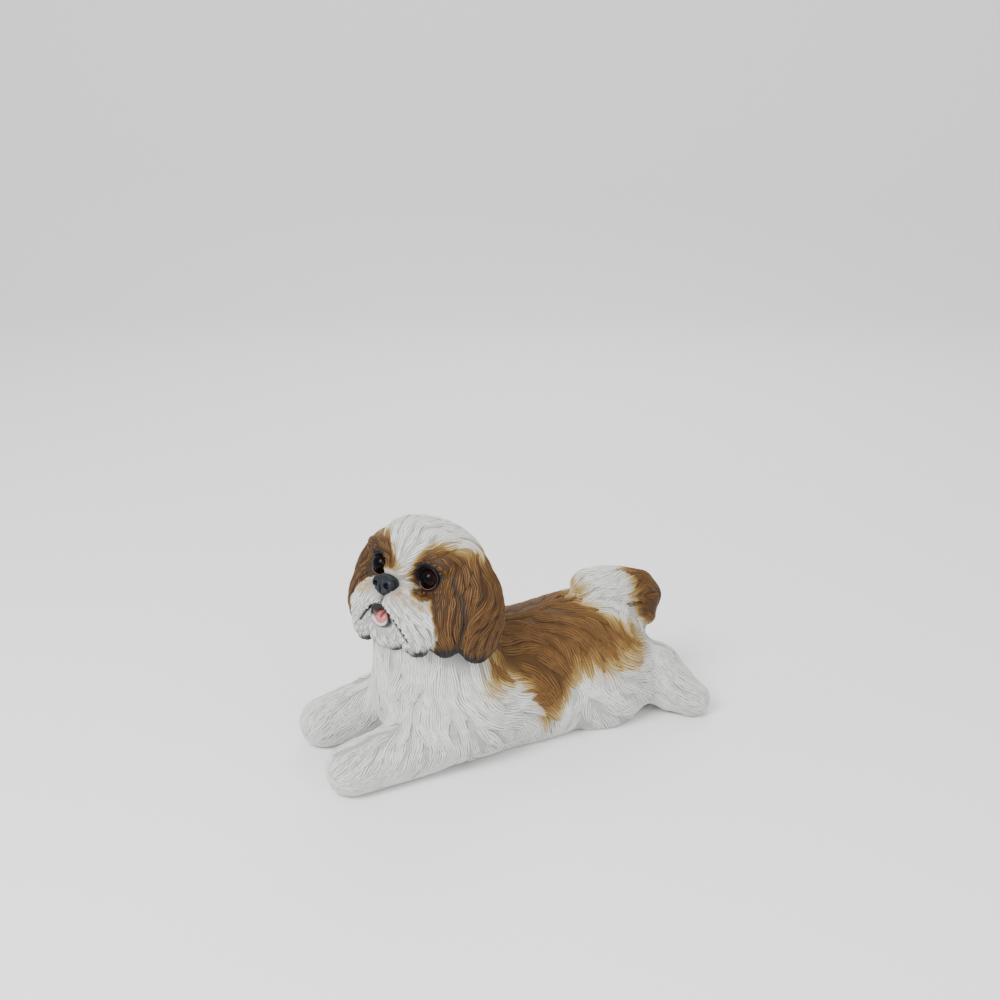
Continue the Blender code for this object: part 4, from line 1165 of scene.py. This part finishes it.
turns = np.linspace(0, 2 * np.pi, 56, endpoint=False)
lip_path = np.stack([LIP_RING[1][0] * np.cos(turns), LIP_RING[0][1] - LIP_BACK * np.sin(turns),
                     LIP_RING[0][2] + LIP_RING[1][1] * np.sin(turns)], 1)
below = rise(-np.sin(turns), 0.0, 0.5)[:, 0]
lip = torus("lip", lip_path, mix(*LIP_THICK, below), 14, {"below": below})
lip_paint = rim_paint("lip paint", (0.006, 0.007, 0.010, 1), (0.560, 0.480, 0.470, 1),
                      (0.035, 0.040, 0.052, 1))
finish_piece(lip, lip_paint, "coat_muzzle")


# The studio: a pale floor that curls up into the background, a large soft key light from the front
# left, two weaker fills, a small lamp by the camera for the eyes, and the camera of the photograph.
CAMERA_TARGET = Vector(np.array((0, -0.0035, 0.0805)) + SHIFT)
CAMERA_AZIMUTH = 60.0
CAMERA_ELEVATION = 25.0
CAMERA_DISTANCE = 1.3
CAMERA_LENS = 46.8
CAMERA_SHIFT = (-0.004, 0.153)
FLOOR_FRONT = -3
FLOOR_SIDE = 7
COVE_START = 2.2
COVE_RADIUS = 1.2
WALL_TOP = 4
FLOOR_WHITE = (0.90, 0.90, 0.90, 1)
SKY_LIGHT = 1.05
LIGHTS = {"key": ((0.7, -1.6, 1.8), 66, 1.0), "fill": ((1.9, 0.4, 1.0), 10, 1.4),
          "back": ((-1.4, 1.0, 1.6), 16, 1.2), "catch": ((0.99, -0.62, 0.72), 1.7, 0.025)}

azimuth, elevation = np.radians([CAMERA_AZIMUTH, CAMERA_ELEVATION])
toward = Vector((np.sin(azimuth) * np.cos(elevation), -np.cos(azimuth) * np.cos(elevation),
                 np.sin(elevation)))
lens = bpy.data.cameras.new("camera")
lens.lens = CAMERA_LENS
lens.shift_x, lens.shift_y = CAMERA_SHIFT
arc = np.linspace(0, np.pi / 2, 25)
run = np.concatenate([[FLOOR_FRONT], COVE_START + COVE_RADIUS * np.sin(arc), [COVE_START + COVE_RADIUS]])
rises = np.concatenate([[0], COVE_RADIUS * (1 - np.cos(arc)), [WALL_TOP]])
away = -np.array((toward.x, toward.y, 0)) / np.hypot(toward.x, toward.y)
sideways = np.array((-away[1], away[0], 0))
middle = away * run[:, None] + (0, 0, 1) * rises[:, None]
sheet = np.concatenate([middle + FLOOR_SIDE * sideways, middle - FLOOR_SIDE * sideways])
strip = np.arange(len(run) - 1)
strip = np.stack([strip, strip + 1, strip + 1 + len(run), strip + len(run)], 1)
floor = build("floor", sheet - SHIFT, [strip])
floor_paint, _, floor_shader = new_paint("floor paint", 0.5)
floor_shader.inputs["Base Color"].default_value = FLOOR_WHITE
floor_shader.inputs["Roughness"].default_value = 0.9
floor.data.materials.append(floor_paint)

for name, (place, power, size) in LIGHTS.items():
    lamp = bpy.data.lights.new(name, "AREA")
    lamp.energy = power
    lamp.size = size
    light = bpy.data.objects.new(name, lamp)
    light.location = place
    light.rotation_euler = (Vector(place) - CAMERA_TARGET).to_track_quat("Z", "Y").to_euler()
    bpy.context.collection.objects.link(light)

world = bpy.data.worlds.new("studio")
bpy.context.scene.world = world
world.use_nodes = True
world.node_tree.nodes["Background"].inputs["Color"].default_value = (1, 1, 1, 1)
world.node_tree.nodes["Background"].inputs["Strength"].default_value = SKY_LIGHT

camera = bpy.data.objects.new("camera", lens)
camera.location = CAMERA_TARGET + toward * CAMERA_DISTANCE
camera.rotation_euler = toward.to_track_quat("Z", "Y").to_euler()
bpy.context.collection.objects.link(camera)
bpy.context.scene.camera = camera
